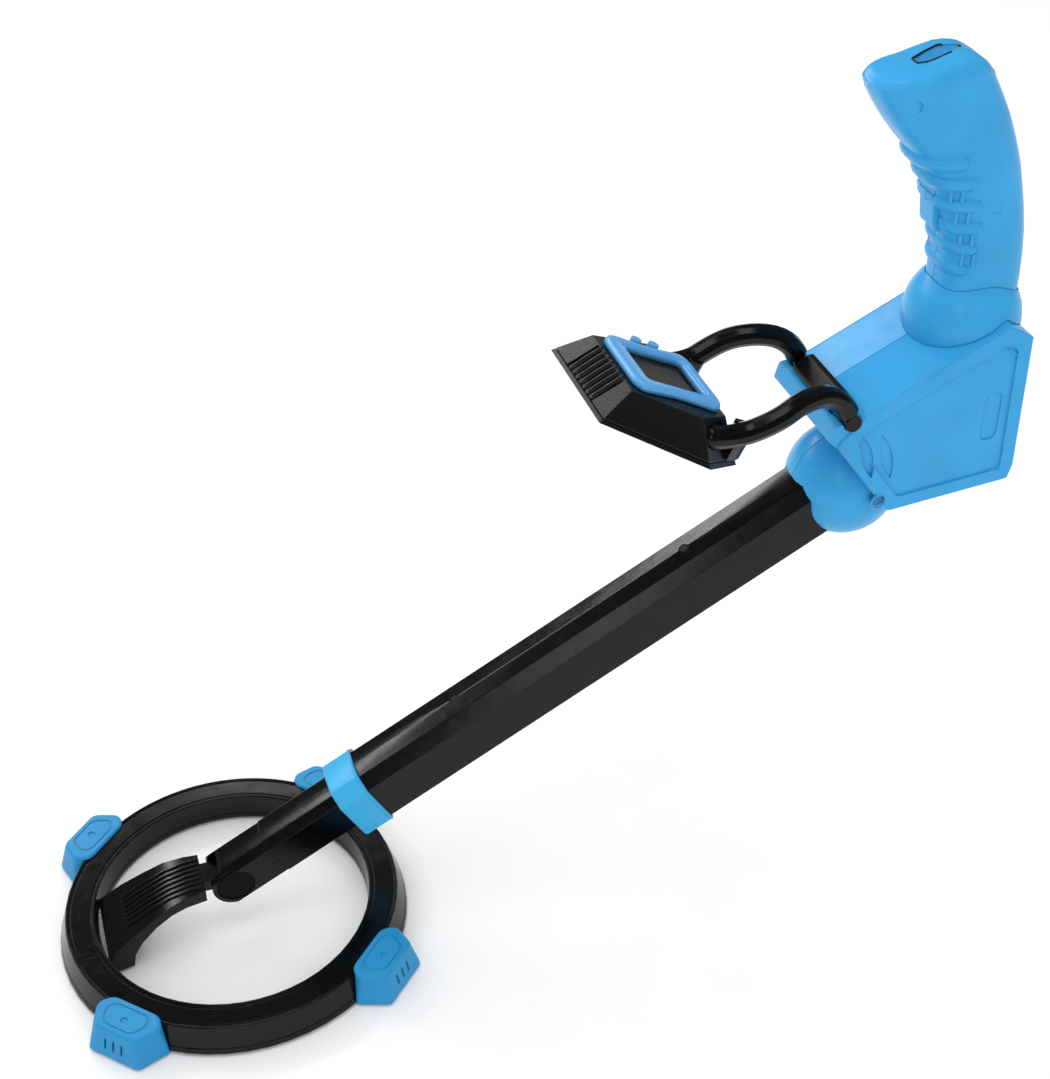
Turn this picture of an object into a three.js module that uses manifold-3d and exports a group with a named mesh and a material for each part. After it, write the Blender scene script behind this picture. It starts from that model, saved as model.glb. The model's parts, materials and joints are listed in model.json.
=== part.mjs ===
// A junior hand-held metal detector, in millimetres, in its in-use pose: the search coil
// lies level and the shaft rises towards the user.
//
// Two frames are used.
//   Stance frame: origin at the centre of the coil's top face, +X towards the user,
//     +Y to the user's right, +Z up. Every piece is drawn in it.
//   Shaft frame: origin as above, +X along the shaft towards the user, turned up by
//     SHAFT_ANGLE. Shaft pieces are drawn in it and then turned.
// The whole group is moved so that its origin is the middle of the hand grip.

import * as THREE from 'three';
import { mergeVertices } from 'three/addons/utils/BufferGeometryUtils.js';
import Module from 'manifold-3d';

const wasm = await Module();
wasm.setup();

// ---- driving dimensions ---------------------------------------------------------------

const GAP = 0.3; // gap between pieces that touch
const SLIT = 0.15; // half the gap at the middle plane between two shell halves
const WALL = 2.2; // moulded wall

const GRIP_CENTRE = [352, 0, 320];
const SHAFT_ANGLE = THREE.MathUtils.degToRad(28.56);

// search coil
const COIL = { outTop: 80, outBottom: 84.15, inTop: 66.2, inBottom: 65, height: 13.1 };
const COIL_SPLIT = -10; // level of the joint between the coil's two shells
const COIL_STEPS = 56;
const BUMPER_ANGLES = { front_left: 225, front_right: 135, rear_left: 315, rear_right: 45 };

// hinge between coil arm and shaft, in the shaft frame (along, up)
const HINGE = {
  s: 9, h: 13.5, pin: 3, bore: 3.15, eye: 7, cap: 8.8, seat: 8.6, cheek: 10.2, slot: 7.2, tongue: 6.2,
};
const ARM_TOP_AT_HINGE = 19.6;

// shaft sections: crest height, shoulder and side corners, bottom; all about the middle plane
const OUTER = { crest: 28.4, shoulder: [8.6, 27.6], side: [14.1, 22.0], bottom: -1.1 };
const INNER = { crest: 25.6, shoulder: [6.8, 25.0], side: [10.4, 21.3], bottom: 1.9 };
const KNUCKLE_END = 32.7;
const INNER_SPAN = [33, 210];
const OUTER_SPAN = [77, 350];
const COLLAR_SPAN = [73.6, 89.2];
const CORE_SPAN = [256, 352];
const SHAFT_SCREWS = { front: 146.1, rear: 274.8 };
const SLIDE_SLOT = [108, 198]; // slot in the inner tube that the front screw's tip rides in

// housing: side outline (x, z), half width and roof ridge
const HOUSING = [
  [284.8, 219.5], [296.2, 231.7], [364.2, 264.8], [376.6, 257.4],
  [378.2, 190.0], [376.2, 182.1], [315.0, 177.1],
];
const HOUSING_HALF = 30;
const RIDGE = 3;
const SOCKET_DOME = { s: 354.7, h: 11.5, r: 26.5 };
const NECK_DOME = { x: 356.5, z: 258.1, r: 26.6 };

// crossbar of the display yoke, its axis along Y
const BAR = { x: 291.5, z: 230.3, radius: 3.9, half: 31 };

// grip: level, front x, back x, half width
const GRIP = [
  [268.6, 338.6, 379, 16.2], [279, 339.4, 378.8, 16.6], [290, 339.6, 378, 16.9],
  [301, 338, 376.7, 17.1], [312, 333.8, 374.6, 17.2], [322, 330.4, 372.2, 17.2],
  [332, 325.8, 369.6, 17.2], [340, 320, 366.9, 17.2], [348, 312.8, 363.9, 17.1],
  [356, 306.4, 360.5, 17], [364, 300.8, 356.3, 16.9], [370, 297.4, 352.8, 16.7],
];
// the rounded top of the grip: its base row, and its crest as x and z
const CROWN_BASE = [373.5, 296.2, 351, 16.4];
const CREST = [
  [294, 374], [297, 376.6], [301, 378.2], [307, 379], [313, 379.2], [318, 379.8],
  [323, 381.6], [328, 383.4], [333, 384.4], [338, 384.2], [343, 382.2], [347, 379],
  [350, 376], [353, 374.2],
];
const CROWN_RINGS = [[0.985, 0.3], [0.94, 0.58], [0.85, 0.8], [0.65, 0.93], [0.4, 0.985], [0.12, 1]];
const GRIP_STEPS = 28;
// finger ribs: height, and how far each one runs back from the front of the grip
const RIBS = [[339.8, 15.3], [330, 14], [319.5, 13], [309, 12], [298.5, 8], [288, 5]];

// display head: frame with its origin at the front of the bezel; +a runs along the face
// towards the user, +m is out of the face
const HEAD = { x: 194.5, z: 264.3, tilt: THREE.MathUtils.degToRad(26.5) };
const HEAD_TOP = [[-4, 24, -2.5], [28.5, 32.4, -2.5], [44.5, 23.5, -2.5]];
const HEAD_BASE = [[-15.5, 31.1, -17.4], [39, 40.5, -21], [58.5, 28.9, -21]];
const HEAD_SPLIT = [0.86, 0.885]; // joint between the two case halves, as a share of the height
const BEZEL = { a: [-1.4, 43.4], half: 23.6, m: [-2.2, 1.2] };
const LCD = { a: [6.5, 37], half: 14.8 };
const ARM_PATH = [
  [223.5, 32.2, 238.8], [227.3, 31.9, 237.8], [231.1, 31.7, 237.3], [235.7, 31.8, 237.3],
  [241.1, 32.2, 237.9], [246.2, 33, 239.7], [251.7, 33.4, 241.8], [257.1, 32.9, 243.9],
  [262.7, 31.2, 245.7], [271.3, 28.8, 246.4], [278.7, 27.1, 245], [283.6, 26.4, 242.2],
  [287.4, 26.1, 238.6], [290.4, 26, 234],
];
const ARM_RADIUS = 5.2;
const BUTTON_PLACES = { front: 17.2, rear: 26.4 };

// ---- materials ------------------------------------------------------------------------

const plastic = (color, roughness) => new THREE.MeshStandardMaterial({ color, roughness, metalness: 0 });
const metal = (color, roughness) => new THREE.MeshStandardMaterial({ color, roughness, metalness: 1 });
const BLUE = plastic(0x43a6e0, 0.35);
const BUMPER_BLUE = plastic(0x3a99ce, 0.45);
const BEZEL_BLUE = plastic(0x4aa3e6, 0.5);
const BLACK = plastic(0x131313, 0.22);
const BLACK_SATIN = plastic(0x181715, 0.45);
const GLASS = plastic(0x4c5648, 0.15);
const LCD_GREY = plastic(0x6e7a62, 0.6);
const BOARD_GREEN = plastic(0x1f6b3a, 0.5);
const STEEL = metal(0x8d8f92, 0.35);
const COPPER = metal(0xb06a34, 0.4);
const SPEAKER_BLACK = plastic(0x202124, 0.7);
const BATTERY_GREY = plastic(0x3d4046, 0.4);

// ---- solids ---------------------------------------------------------------------------

const solidOf = (geometry) => {
  const bare = geometry.clone();
  bare.deleteAttribute('normal');
  bare.deleteAttribute('uv');
  const merged = mergeVertices(bare, 1e-4);
  return new wasm.Manifold(new wasm.Mesh({
    numProp: 3,
    vertProperties: new Float32Array(merged.attributes.position.array),
    triVerts: new Uint32Array(merged.index.array),
  }));
};

const geometryOf = (solid) => {
  const mesh = solid.getMesh();
  const geometry = new THREE.BufferGeometry();
  geometry.setAttribute('position', new THREE.BufferAttribute(new Float32Array(mesh.vertProperties), 3));
  geometry.setIndex(new THREE.BufferAttribute(new Uint32Array(mesh.triVerts), 1));
  geometry.computeVertexNormals();
  return geometry;
};

const union = (solids) => solids.reduce((sum, solid) => sum.add(solid));

// an outline in a plane, pushed out along the plane's normal axis
const AXES = {
  x: new THREE.Matrix4().makeBasis(
    new THREE.Vector3(0, 1, 0), new THREE.Vector3(0, 0, 1), new THREE.Vector3(1, 0, 0)),
  y: new THREE.Matrix4().makeBasis(
    new THREE.Vector3(1, 0, 0), new THREE.Vector3(0, 0, 1), new THREE.Vector3(0, -1, 0)),
  z: new THREE.Matrix4(),
};

const prism = (axis, outline, from, to) => {
  const shape = new THREE.Shape(outline.map(([u, v]) => new THREE.Vector2(u, v)));
  const geometry = new THREE.ExtrudeGeometry(shape, { depth: to - from, bevelEnabled: false });
  const start = axis === 'y' ? -to : from;
  geometry.translate(0, 0, start);
  geometry.applyMatrix4(AXES[axis]);
  return solidOf(geometry);
};

const box = (x, y, z) => {
  const geometry = new THREE.BoxGeometry(x[1] - x[0], y[1] - y[0], z[1] - z[0]);
  geometry.translate((x[0] + x[1]) / 2, (y[0] + y[1]) / 2, (z[0] + z[1]) / 2);
  return solidOf(geometry);
};

// a cylinder along Y through (x, z)
const rodY = (x, z, radius, from, to, steps = 20) => {
  const geometry = new THREE.CylinderGeometry(radius, radius, to - from, steps);
  geometry.translate(x, (from + to) / 2, z);
  return solidOf(geometry);
};

const ball = (x, y, z, radius, steps = 36) => {
  const geometry = new THREE.SphereGeometry(radius, steps, steps / 2);
  geometry.rotateX(Math.PI / 2);
  geometry.translate(x, y, z);
  return solidOf(geometry);
};

// a profile of (radius, z) turned about the Z axis
const turned = (profile, steps) => {
  const points = profile.map(([r, z]) => new THREE.Vector2(r, z));
  const geometry = new THREE.LatheGeometry([...points, points[0]], steps);
  geometry.rotateX(Math.PI / 2);
  const solid = solidOf(geometry);
  return solid.volume() < 0 ? solidOf(flipped(geometry)) : solid;
};

const flipped = (geometry) => {
  const turnedOver = geometry.clone();
  const index = turnedOver.index.array;
  for (let i = 0; i < index.length; i += 3) {
    const first = index[i];
    index[i] = index[i + 1];
    index[i + 1] = first;
  }
  return turnedOver;
};

// a closed body through rings of points that all have the same count
const loft = (rings) => {
  const count = rings[0].length;
  const positions = [];
  rings.forEach((ring) => ring.forEach((point) => positions.push(...point)));
  const index = [];
  for (let r = 0; r < rings.length - 1; r += 1) {
    for (let i = 0; i < count; i += 1) {
      const j = (i + 1) % count;
      const a = r * count + i;
      const b = r * count + j;
      index.push(a, b, b + count, a, b + count, a + count);
    }
  }
  const cap = (ring, order) => {
    const centre = [0, 1, 2].map((k) => rings[ring].reduce((sum, p) => sum + p[k], 0) / count);
    const middle = positions.length / 3;
    positions.push(...centre);
    for (let i = 0; i < count; i += 1) {
      const a = ring * count + i;
      const b = ring * count + ((i + 1) % count);
      index.push(...(order ? [middle, a, b] : [middle, b, a]));
    }
  };
  cap(0, false);
  cap(rings.length - 1, true);
  const geometry = new THREE.BufferGeometry();
  geometry.setAttribute('position', new THREE.Float32BufferAttribute(positions, 3));
  geometry.setIndex(index);
  const solid = solidOf(geometry);
  return solid.volume() < 0 ? solidOf(flipped(geometry)) : solid;
};

// a convex outline moved inwards by a distance (outwards if it is negative); an edge that
// shrinks away is dropped
const inset = (outline, distance) => {
  const count = outline.length;
  const area = outline.reduce((sum, p, i) => {
    const q = outline[(i + 1) % count];
    return sum + p[0] * q[1] - q[0] * p[1];
  }, 0);
  const side = Math.sign(area);
  const edges = outline.map((p, i) => {
    const q = outline[(i + 1) % count];
    const length = Math.hypot(q[0] - p[0], q[1] - p[1]);
    const along = [(q[0] - p[0]) / length, (q[1] - p[1]) / length];
    const normal = [-side * along[1], side * along[0]];
    return { along, normal, offset: normal[0] * p[0] + normal[1] * p[1] + distance };
  });
  const corner = (l, m) => {
    const det = l.normal[0] * m.normal[1] - l.normal[1] * m.normal[0];
    return [
      (l.offset * m.normal[1] - m.offset * l.normal[1]) / det,
      (l.normal[0] * m.offset - m.normal[0] * l.offset) / det,
    ];
  };
  const meet = (list) => list.map((edge, i) => corner(list[(i + list.length - 1) % list.length], edge));
  const lasting = (list) => {
    const points = meet(list);
    return list.filter(({ along }, i) => {
      const q = points[(i + 1) % points.length];
      return along[0] * (q[0] - points[i][0]) + along[1] * (q[1] - points[i][1]) > 0;
    });
  };
  return meet(lasting(edges));
};

// an outline with every corner turned into an arc, less on short edges
const rounded = (outline, radius, steps = 3) => outline.flatMap((p, i) => {
  const count = outline.length;
  const before = outline[(i + count - 1) % count];
  const after = outline[(i + 1) % count];
  const u = new THREE.Vector2(before[0] - p[0], before[1] - p[1]);
  const v = new THREE.Vector2(after[0] - p[0], after[1] - p[1]);
  const room = Math.min(u.length(), v.length()) * 0.45;
  u.normalize();
  v.normalize();
  const half = Math.acos(THREE.MathUtils.clamp(u.dot(v), -1, 1)) / 2;
  const reach = Math.min(radius / Math.tan(half), room);
  const corner = new THREE.QuadraticBezierCurve(
    new THREE.Vector2(p[0] + u.x * reach, p[1] + u.y * reach),
    new THREE.Vector2(p[0], p[1]),
    new THREE.Vector2(p[0] + v.x * reach, p[1] + v.y * reach));
  return corner.getPoints(steps).map((q) => [q.x, q.y]);
});

const mirrored = (outline) => [
  ...outline.map(([u, v]) => [u, -v]),
  ...outline.slice().reverse().map(([u, v]) => [u, v]),
];

const FAR = 500;
const leftHalf = box([-FAR, FAR], [-FAR, -SLIT], [-FAR, FAR]);
const rightHalf = box([-FAR, FAR], [SLIT, FAR], [-FAR, FAR]);

// ---- shaft frame ----------------------------------------------------------------------

const shaftTurn = new THREE.Matrix4().makeRotationY(-SHAFT_ANGLE);
const toStance = (solid) => solid.transform(shaftTurn.elements);
const shaftPoint = (s, h) => [
  s * Math.cos(SHAFT_ANGLE) - h * Math.sin(SHAFT_ANGLE),
  s * Math.sin(SHAFT_ANGLE) + h * Math.cos(SHAFT_ANGLE),
];

const section = ({ crest, shoulder, side, bottom }) => [
  [0, crest], [shoulder[0], shoulder[1]], [side[0], side[1]], [side[0], bottom + 1.5],
  [side[0] - 1.5, bottom], [-side[0] + 1.5, bottom], [-side[0], bottom + 1.5],
  [-side[0], side[1]], [-shoulder[0], shoulder[1]],
];
const outerSection = section(OUTER);
const innerSection = section(INNER);

const tube = (outside, inside, span) => prism('x', outside, ...span)
  .subtract(prism('x', inside, span[0] - 1, span[1] + 1));

// ---- search coil ----------------------------------------------------------------------

const coilEnvelope = (grow) => turned([
  [COIL.inBottom - grow, -COIL.height - grow], [COIL.outBottom + grow, -COIL.height - grow],
  [COIL.outTop + grow, grow], [COIL.inTop - grow, grow],
], COIL_STEPS);

const outsideAt = (z) => COIL.outTop + ((COIL.outBottom - COIL.outTop) * -z) / COIL.height;
const insideAt = (z) => COIL.inTop + ((COIL.inBottom - COIL.inTop) * -z) / COIL.height;

const coilTopShell = () => turned([
  [insideAt(0), 0], [insideAt(COIL_SPLIT), COIL_SPLIT], [insideAt(COIL_SPLIT) + WALL, COIL_SPLIT],
  [insideAt(0) + WALL, -WALL], [outsideAt(0) - WALL, -WALL],
  [outsideAt(COIL_SPLIT) - WALL, COIL_SPLIT], [outsideAt(COIL_SPLIT), COIL_SPLIT], [outsideAt(0), 0],
], COIL_STEPS);

const coilBottomShell = () => {
  const top = COIL_SPLIT - GAP;
  const floor = -COIL.height + 1.4;
  return turned([
    [COIL.inBottom, -COIL.height], [COIL.outBottom, -COIL.height], [outsideAt(top), top],
    [outsideAt(top) - WALL, top], [outsideAt(floor) - WALL, floor],
    [insideAt(floor) + WALL, floor], [insideAt(top) + WALL, top], [insideAt(top), top],
  ], COIL_STEPS);
};

const coilWinding = () => turned([
  [72.2, -6.6], [76.2, -6.6], [76.8, -5.4], [76.2, -4], [72.2, -4], [71.6, -5.4],
], COIL_STEPS);

// a soft block clipped over the coil's outer edge, drawn at +X and turned to its place
const bumper = (envelope, degrees) => {
  const ring = (level, outline) => outline.map(([r, t]) => [r, t, level]);
  const top = [[76, -13], [82, -17.6], [93.6, -11.8], [93.6, 11.8], [82, 17.6], [76, 13]];
  const bottom = [[77, -15.5], [82, -21], [96.8, -13.8], [96.8, 13.8], [82, 21], [77, 15.5]];
  const middle = bottom.map(([r, t], i) => [r * 0.86 + top[i][0] * 0.14, t * 0.86 + top[i][1] * 0.14]);
  const crown = top.map(([r, t]) => [85 + (r - 85) * 0.9, t * 0.9]);
  const block = loft([ring(-14.5, inset(bottom, 1)), ring(-13.2, bottom), ring(-11, middle),
    ring(0.9, top), ring(1.7, crown)]);
  return block.rotate([0, 0, degrees]).subtract(envelope);
};

// ---- coil arm and hinge ---------------------------------------------------------------

const [HINGE_X, HINGE_Z] = shaftPoint(HINGE.s, HINGE.h);

// the arm's top line and under line, in x and z, from the hinge to the coil
const ARM_TOP = [[-13, ARM_TOP_AT_HINGE], [-20, 19.2], [-30, 17.0], [-40, 12.0], [-51, 5.8], [-62, -2.2], [-72, -4.5]];
const ARM_UNDER = [[-72, -13], [-51.5, -13], [-50.2, -6.2], [-45.7, 0.4], [-38.4, 6.7], [-30.5, 11.1], [-23, 12.9], [-13, 13]];

const coilArm = () => {
  const halfAt = (x) => 12.2 + (-13 - x) * 0.145;
  const plan = mirrored([[-13, halfAt(-13)], [-72, halfAt(-72)]]);
  const body = prism('y', [...ARM_TOP, ...ARM_UNDER], -22, 22).intersect(prism('z', plan, -20, 30));
  const ribs = [-9, -6, -3, 0, 3, 6, 9].map((y) => {
    const lifted = ARM_TOP.slice(0, 5).map(([x, z]) => [x - 0.6, z + 0.7]);
    const sunk = ARM_TOP.slice(0, 5).reverse().map(([x, z]) => [x - 0.6, z - 1]);
    return prism('y', [...lifted, ...sunk], y - 0.7, y + 0.7);
  });
  const neck = prism('y', [[-16, 19.4], [-16, 13.2], [HINGE_X, HINGE_Z - 3.2], [HINGE_X, HINGE_Z + 3.2]],
    -HINGE.tongue, HINGE.tongue);
  const eye = rodY(HINGE_X, HINGE_Z, HINGE.eye, -HINGE.tongue, HINGE.tongue, 28);
  const bore = rodY(HINGE_X, HINGE_Z, HINGE.bore, -20, 20, 24);
  return union([body, ...ribs, neck, eye]).subtract(bore);
};

// the coil's upper shell and its arm are one moulding; the arm stops short of the lower shell
const coilBody = () => {
  const lower = turned([
    [insideAt(COIL_SPLIT) - GAP, COIL_SPLIT], [COIL.outBottom, COIL_SPLIT],
    [COIL.outBottom, -20], [insideAt(-COIL.height) - GAP, -20],
  ], COIL_STEPS);
  return coilTopShell().add(coilArm().subtract(coilEnvelope(-0.6)).subtract(lower));
};

// the knuckle's mouth: the fan that the arm's neck sweeps between the two ends of its tilt
const hingeMouth = () => {
  const { s, h } = HINGE;
  const neckAngle = Math.PI - SHAFT_ANGLE;
  const high = neckAngle - THREE.MathUtils.degToRad(35);
  const low = neckAngle + THREE.MathUtils.degToRad(24);
  const at = (angle, along, aside) => [
    s + along * Math.cos(angle) - aside * Math.sin(angle),
    h + along * Math.sin(angle) + aside * Math.cos(angle),
  ];
  const half = 3.8;
  return [at(high, 0, -half), at(high, 20, -half), at(neckAngle, 30, 0), at(low, 20, half), at(low, 0, half)];
};

const knuckle = () => {
  const { s, h } = HINGE;
  const across = inset(innerSection, 0.4);
  const round = rodY(s, h, 11.2, -HINGE.cheek, HINGE.cheek, 32);
  const straight = box([s, KNUCKLE_END], [-HINGE.cheek, HINGE.cheek], [-5, 35]);
  const body = prism('x', across, -5, KNUCKLE_END).intersect(round.add(straight));
  const spigot = tube(inset(innerSection, 2.1), inset(innerSection, 3.6), [KNUCKLE_END - 4, 46]);
  const pocket = rodY(s, h, HINGE.eye + 0.7, -HINGE.slot, HINGE.slot, 32);
  const mouth = prism('y', hingeMouth(), -HINGE.slot, HINGE.slot);
  const seats = [[-12, -HINGE.seat], [HINGE.seat, 12]].map(([from, to]) => rodY(s, h, HINGE.cap + 0.4, from, to, 32));
  const hollow = prism('x', inset(innerSection, 3.6), s + 13, 60);
  const bore = rodY(s, h, HINGE.bore, -20, 20, 24);
  return toStance(body.subtract(hollow).add(spigot).subtract(union([pocket, mouth, bore, ...seats])));
};

const hingeWasher = (side) => {
  const inner = side * (HINGE.tongue + 0.2);
  const outer = side * (HINGE.slot - 0.2);
  const [from, to] = [Math.min(inner, outer), Math.max(inner, outer)];
  return rodY(HINGE_X, HINGE_Z, 6.4, from, to, 24).subtract(rodY(HINGE_X, HINGE_Z, HINGE.bore, -20, 20, 24));
};

// a shallow round cap sunk in the knuckle's cheek, cut to follow the knuckle's shoulders
const hingeCap = (side) => {
  const [from, to] = side < 0 ? [-9.7, -HINGE.seat - GAP] : [HINGE.seat + GAP, 9.7];
  const within = prism('x', inset(innerSection, 0.7), -5, KNUCKLE_END);
  return toStance(rodY(HINGE.s, HINGE.h, HINGE.cap, from, to, 32).intersect(within));
};

const hingeBolt = () => hingeCap(-1).add(rodY(HINGE_X, HINGE_Z, HINGE.pin, -9.6, 9.4, 24));

const hingeNut = () => hingeCap(1).subtract(rodY(HINGE_X, HINGE_Z, HINGE.bore, -20, 20, 24));

// ---- shaft ----------------------------------------------------------------------------

const innerTube = () => {
  const slot = box(SLIDE_SLOT, [-1.9, 1.9], [20, 30]);
  return toStance(tube(innerSection, inset(innerSection, 1.8), INNER_SPAN).subtract(slot));
};

const rodH = (s, radius, low, high, steps = 18) => {
  const geometry = new THREE.CylinderGeometry(radius, radius, high - low, steps).rotateX(Math.PI / 2);
  geometry.translate(s, 0, (low + high) / 2);
  return solidOf(geometry);
};

const SCREW_SEAT = 27.4;
const screwHole = (s) => rodH(s, 2.3, SCREW_SEAT, 36).add(rodH(s, 1.25, 20, 36));

const outerTube = () => {
  const pad = box([SHAFT_SCREWS.front - 4, SHAFT_SCREWS.front + 4], [-4, 4], [25.9, 27.4]);
  return toStance(tube(outerSection, inset(outerSection, 1.9), OUTER_SPAN)
    .add(pad)
    .subtract(screwHole(SHAFT_SCREWS.front))
    .subtract(screwHole(SHAFT_SCREWS.rear)));
};

const shaftScrew = (s, tip) => toStance(rodH(s, 2.0, SCREW_SEAT + 0.1, SCREW_SEAT + 0.7)
  .add(rodH(s, 1.1, tip, SCREW_SEAT + 0.4)));

const collar = () => {
  const outside = inset(outerSection, -1.6);
  const over = prism('x', outside, COLLAR_SPAN[0] + 0.8, COLLAR_SPAN[1] - 0.8);
  const edges = prism('x', inset(outside, 0.7), ...COLLAR_SPAN);
  const bore = prism('x', inset(outerSection, -0.15), OUTER_SPAN[0] - GAP, COLLAR_SPAN[1] + 1);
  const mouth = prism('x', inset(innerSection, -0.35), COLLAR_SPAN[0] - 1, COLLAR_SPAN[1]);
  return toStance(over.add(edges).subtract(bore).subtract(mouth));
};

const tubeBush = () => toStance(tube(inset(outerSection, 2.05), inset(innerSection, -0.15), [77.2, 94]));

const shaftCore = () => toStance(tube(inset(outerSection, 2.1), inset(outerSection, 4.4), CORE_SPAN)
  .subtract(rodH(SHAFT_SCREWS.rear, 1.25, 20, 36)));

// ---- housing --------------------------------------------------------------------------

const housingBody = (offset) => {
  const outline = inset(HOUSING, offset);
  const half = HOUSING_HALF - offset;
  const bevel = 1.4;
  const tall = (points, rise) => points.map(([x, z], i) => [x, z + (i === 1 || i === 2 ? rise : 0)]);
  const ring = (points, y) => points.map(([x, z]) => [x, y, z]);
  const edge = (y) => ring(rounded(inset(outline, 1.1), 1.6, 2), y);
  const full = (y, rise) => ring(rounded(tall(outline, rise), 2.2, 2), y);
  return loft([edge(-half), full(-half + bevel, RIDGE * 0.06), full(0, RIDGE),
    full(half - bevel, RIDGE * 0.06), edge(half)]);
};

const SCREWS = {
  bottom_front: { x: 309.5, z: 184.5, from: -1 },
  bottom_rear: { x: 371, z: 188.5, from: 1 },
  top_rear: { x: 370.5, z: 250, from: 1 },
  top_front: { x: 305, z: 229, from: 1 },
};

const bossSet = () => union(Object.values(SCREWS)
  .map(({ x, z }) => rodY(x, z, 3.9, -HOUSING_HALF + 1, HOUSING_HALF - 1, 18)));

const screwBore = ({ x, z, from }) => {
  const seat = HOUSING_HALF - 3.4;
  const [low, high] = from < 0 ? [-HOUSING_HALF - 2, -seat] : [seat, HOUSING_HALF + 2];
  const [a, b] = from < 0 ? [-seat - 1, 14] : [-14, seat + 1];
  return rodY(x, z, 3.1, low, high, 18).add(rodY(x, z, 1.6, a, b, 14));
};

const housingScrew = ({ x, z, from }) => {
  const seat = (HOUSING_HALF - 3.4 + GAP) * from;
  const head = [seat, seat + 1.9 * from].sort((p, q) => p - q);
  const shank = [seat + 0.5 * from, -12 * from].sort((p, q) => p - q);
  return rodY(x, z, 2.8, head[0], head[1], 18).add(rodY(x, z, 1.4, shank[0], shank[1], 14));
};

// the sunk panel on each side, with a border left standing
const sidePanel = (side) => {
  const outline = rounded(inset(HOUSING, 7.5), 4, 3);
  const depth = [HOUSING_HALF - 1.1, HOUSING_HALF + 2];
  const [from, to] = side < 0 ? [-depth[1], -depth[0]] : depth;
  return prism('y', outline, from, to);
};

// a pointed-oval recess standing on the side, its long axis close to upright
const lens = (side, x, z, length, width, lean) => {
  const points = [];
  const steps = 7;
  for (let i = 0; i < steps; i += 1) {
    const t = i / steps;
    points.push([width * Math.sin(Math.PI * t) ** 0.8, length * (t - 0.5)]);
  }
  for (let i = 0; i < steps; i += 1) {
    const t = 1 - i / steps;
    points.push([-width * Math.sin(Math.PI * t) ** 0.8, length * (t - 0.5)]);
  }
  const placed = points.map(([u, v]) => [
    x + u * Math.cos(lean) - v * Math.sin(lean), z + u * Math.sin(lean) + v * Math.cos(lean)]);
  const depth = [HOUSING_HALF - 1.9, HOUSING_HALF + 2];
  const [from, to] = side < 0 ? [-depth[1], -depth[0]] : depth;
  return prism('y', placed, from, to);
};

const sideRecesses = (side) => {
  const slot = rounded([[357.6, 206.5], [366, 206.5], [366, 231.5], [357.6, 231.5]], 3.5, 3);
  const depth = [HOUSING_HALF - 1.8, HOUSING_HALF + 2];
  const [from, to] = side < 0 ? [-depth[1], -depth[0]] : depth;
  return union([lens(side, 301, 210, 24, 3, 0.28), lens(side, 311, 208, 26, 3, 0.28),
    prism('y', slot, from, to)]);
};

const DOOR = { x: [318, 366], y: [-17, 17], z: [170, 184.4] };
const doorBlock = (grow) => box([DOOR.x[0] - grow, DOOR.x[1] + grow],
  [DOOR.y[0] - grow, DOOR.y[1] + grow], DOOR.z);

const [DOME_X, DOME_Z] = shaftPoint(SOCKET_DOME.s, SOCKET_DOME.h);

const speakerSlots = () => union([-7.5, -2.5, 2.5, 7.5]
  .map((rise) => box([331, 345], [24, 33], [215.2 + rise, 216.8 + rise])));

const housing = () => {
  const outer = housingBody(0);
  const hollow = housingBody(WALL + 0.3);
  const dome = ball(DOME_X, 0, DOME_Z, SOCKET_DOME.r, 40);
  const domeHollow = ball(DOME_X, 0, DOME_Z, SOCKET_DOME.r - WALL, 32);
  const tubeWay = toStance(prism('x', inset(outerSection, -0.25), 300, OUTER_SPAN[1] + 4));
  const barSeat = rodY(BAR.x, BAR.z, 7.4, -HOUSING_HALF + 1, HOUSING_HALF - 1, 24).intersect(outer);
  const barWay = rodY(BAR.x, BAR.z, BAR.radius + GAP, -HOUSING_HALF - 5, HOUSING_HALF + 5, 28);
  const neckWay = solidOf(new THREE.CylinderGeometry(12.4, 12.4, 60, 28)
    .rotateX(Math.PI / 2).translate(NECK_DOME.x, 0, 262));
  const bosses = bossSet().intersect(outer);
  return outer.add(dome)
    .subtract(hollow.add(domeHollow))
    .add(bosses).add(barSeat)
    .subtract(union([tubeWay, barWay, neckWay, doorBlock(0)]))
    .subtract(union(Object.values(SCREWS).map(screwBore)))
    .subtract(union([sidePanel(-1), sidePanel(1), sideRecesses(-1), sideRecesses(1), speakerSlots()]));
};

const DOOR_SCREW = { x: 362, y: 0 };

const batteryDoor = () => {
  const plate = housingBody(0).subtract(housingBody(WALL)).intersect(doorBlock(-GAP));
  const hole = solidOf(new THREE.CylinderGeometry(1.6, 1.6, 20, 14)
    .rotateX(Math.PI / 2).translate(DOOR_SCREW.x, DOOR_SCREW.y, 182));
  return plate.subtract(hole);
};

const doorScrew = () => {
  const head = new THREE.CylinderGeometry(2.6, 2.6, 1.4, 18).rotateX(Math.PI / 2);
  const shank = new THREE.CylinderGeometry(1.3, 1.3, 6, 14).rotateX(Math.PI / 2);
  head.translate(DOOR_SCREW.x, DOOR_SCREW.y, 179.9);
  shank.translate(DOOR_SCREW.x, DOOR_SCREW.y, 183.2);
  return solidOf(head).add(solidOf(shank));
};

// ---- bar cradle and keeper ------------------------------------------------------------

const LIP = [
  [281.4, 221.6], [283.6, 229.3], [286.4, 229.9], [290.5, 229], [292, 222], [287, 216.8],
];

const barCradle = () => prism('y', rounded(LIP, 1.4, 2), -29.4, 29.4)
  .subtract(housingBody(-GAP))
  .subtract(rodY(BAR.x, BAR.z, BAR.radius + GAP, -40, 40, 28));

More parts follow.
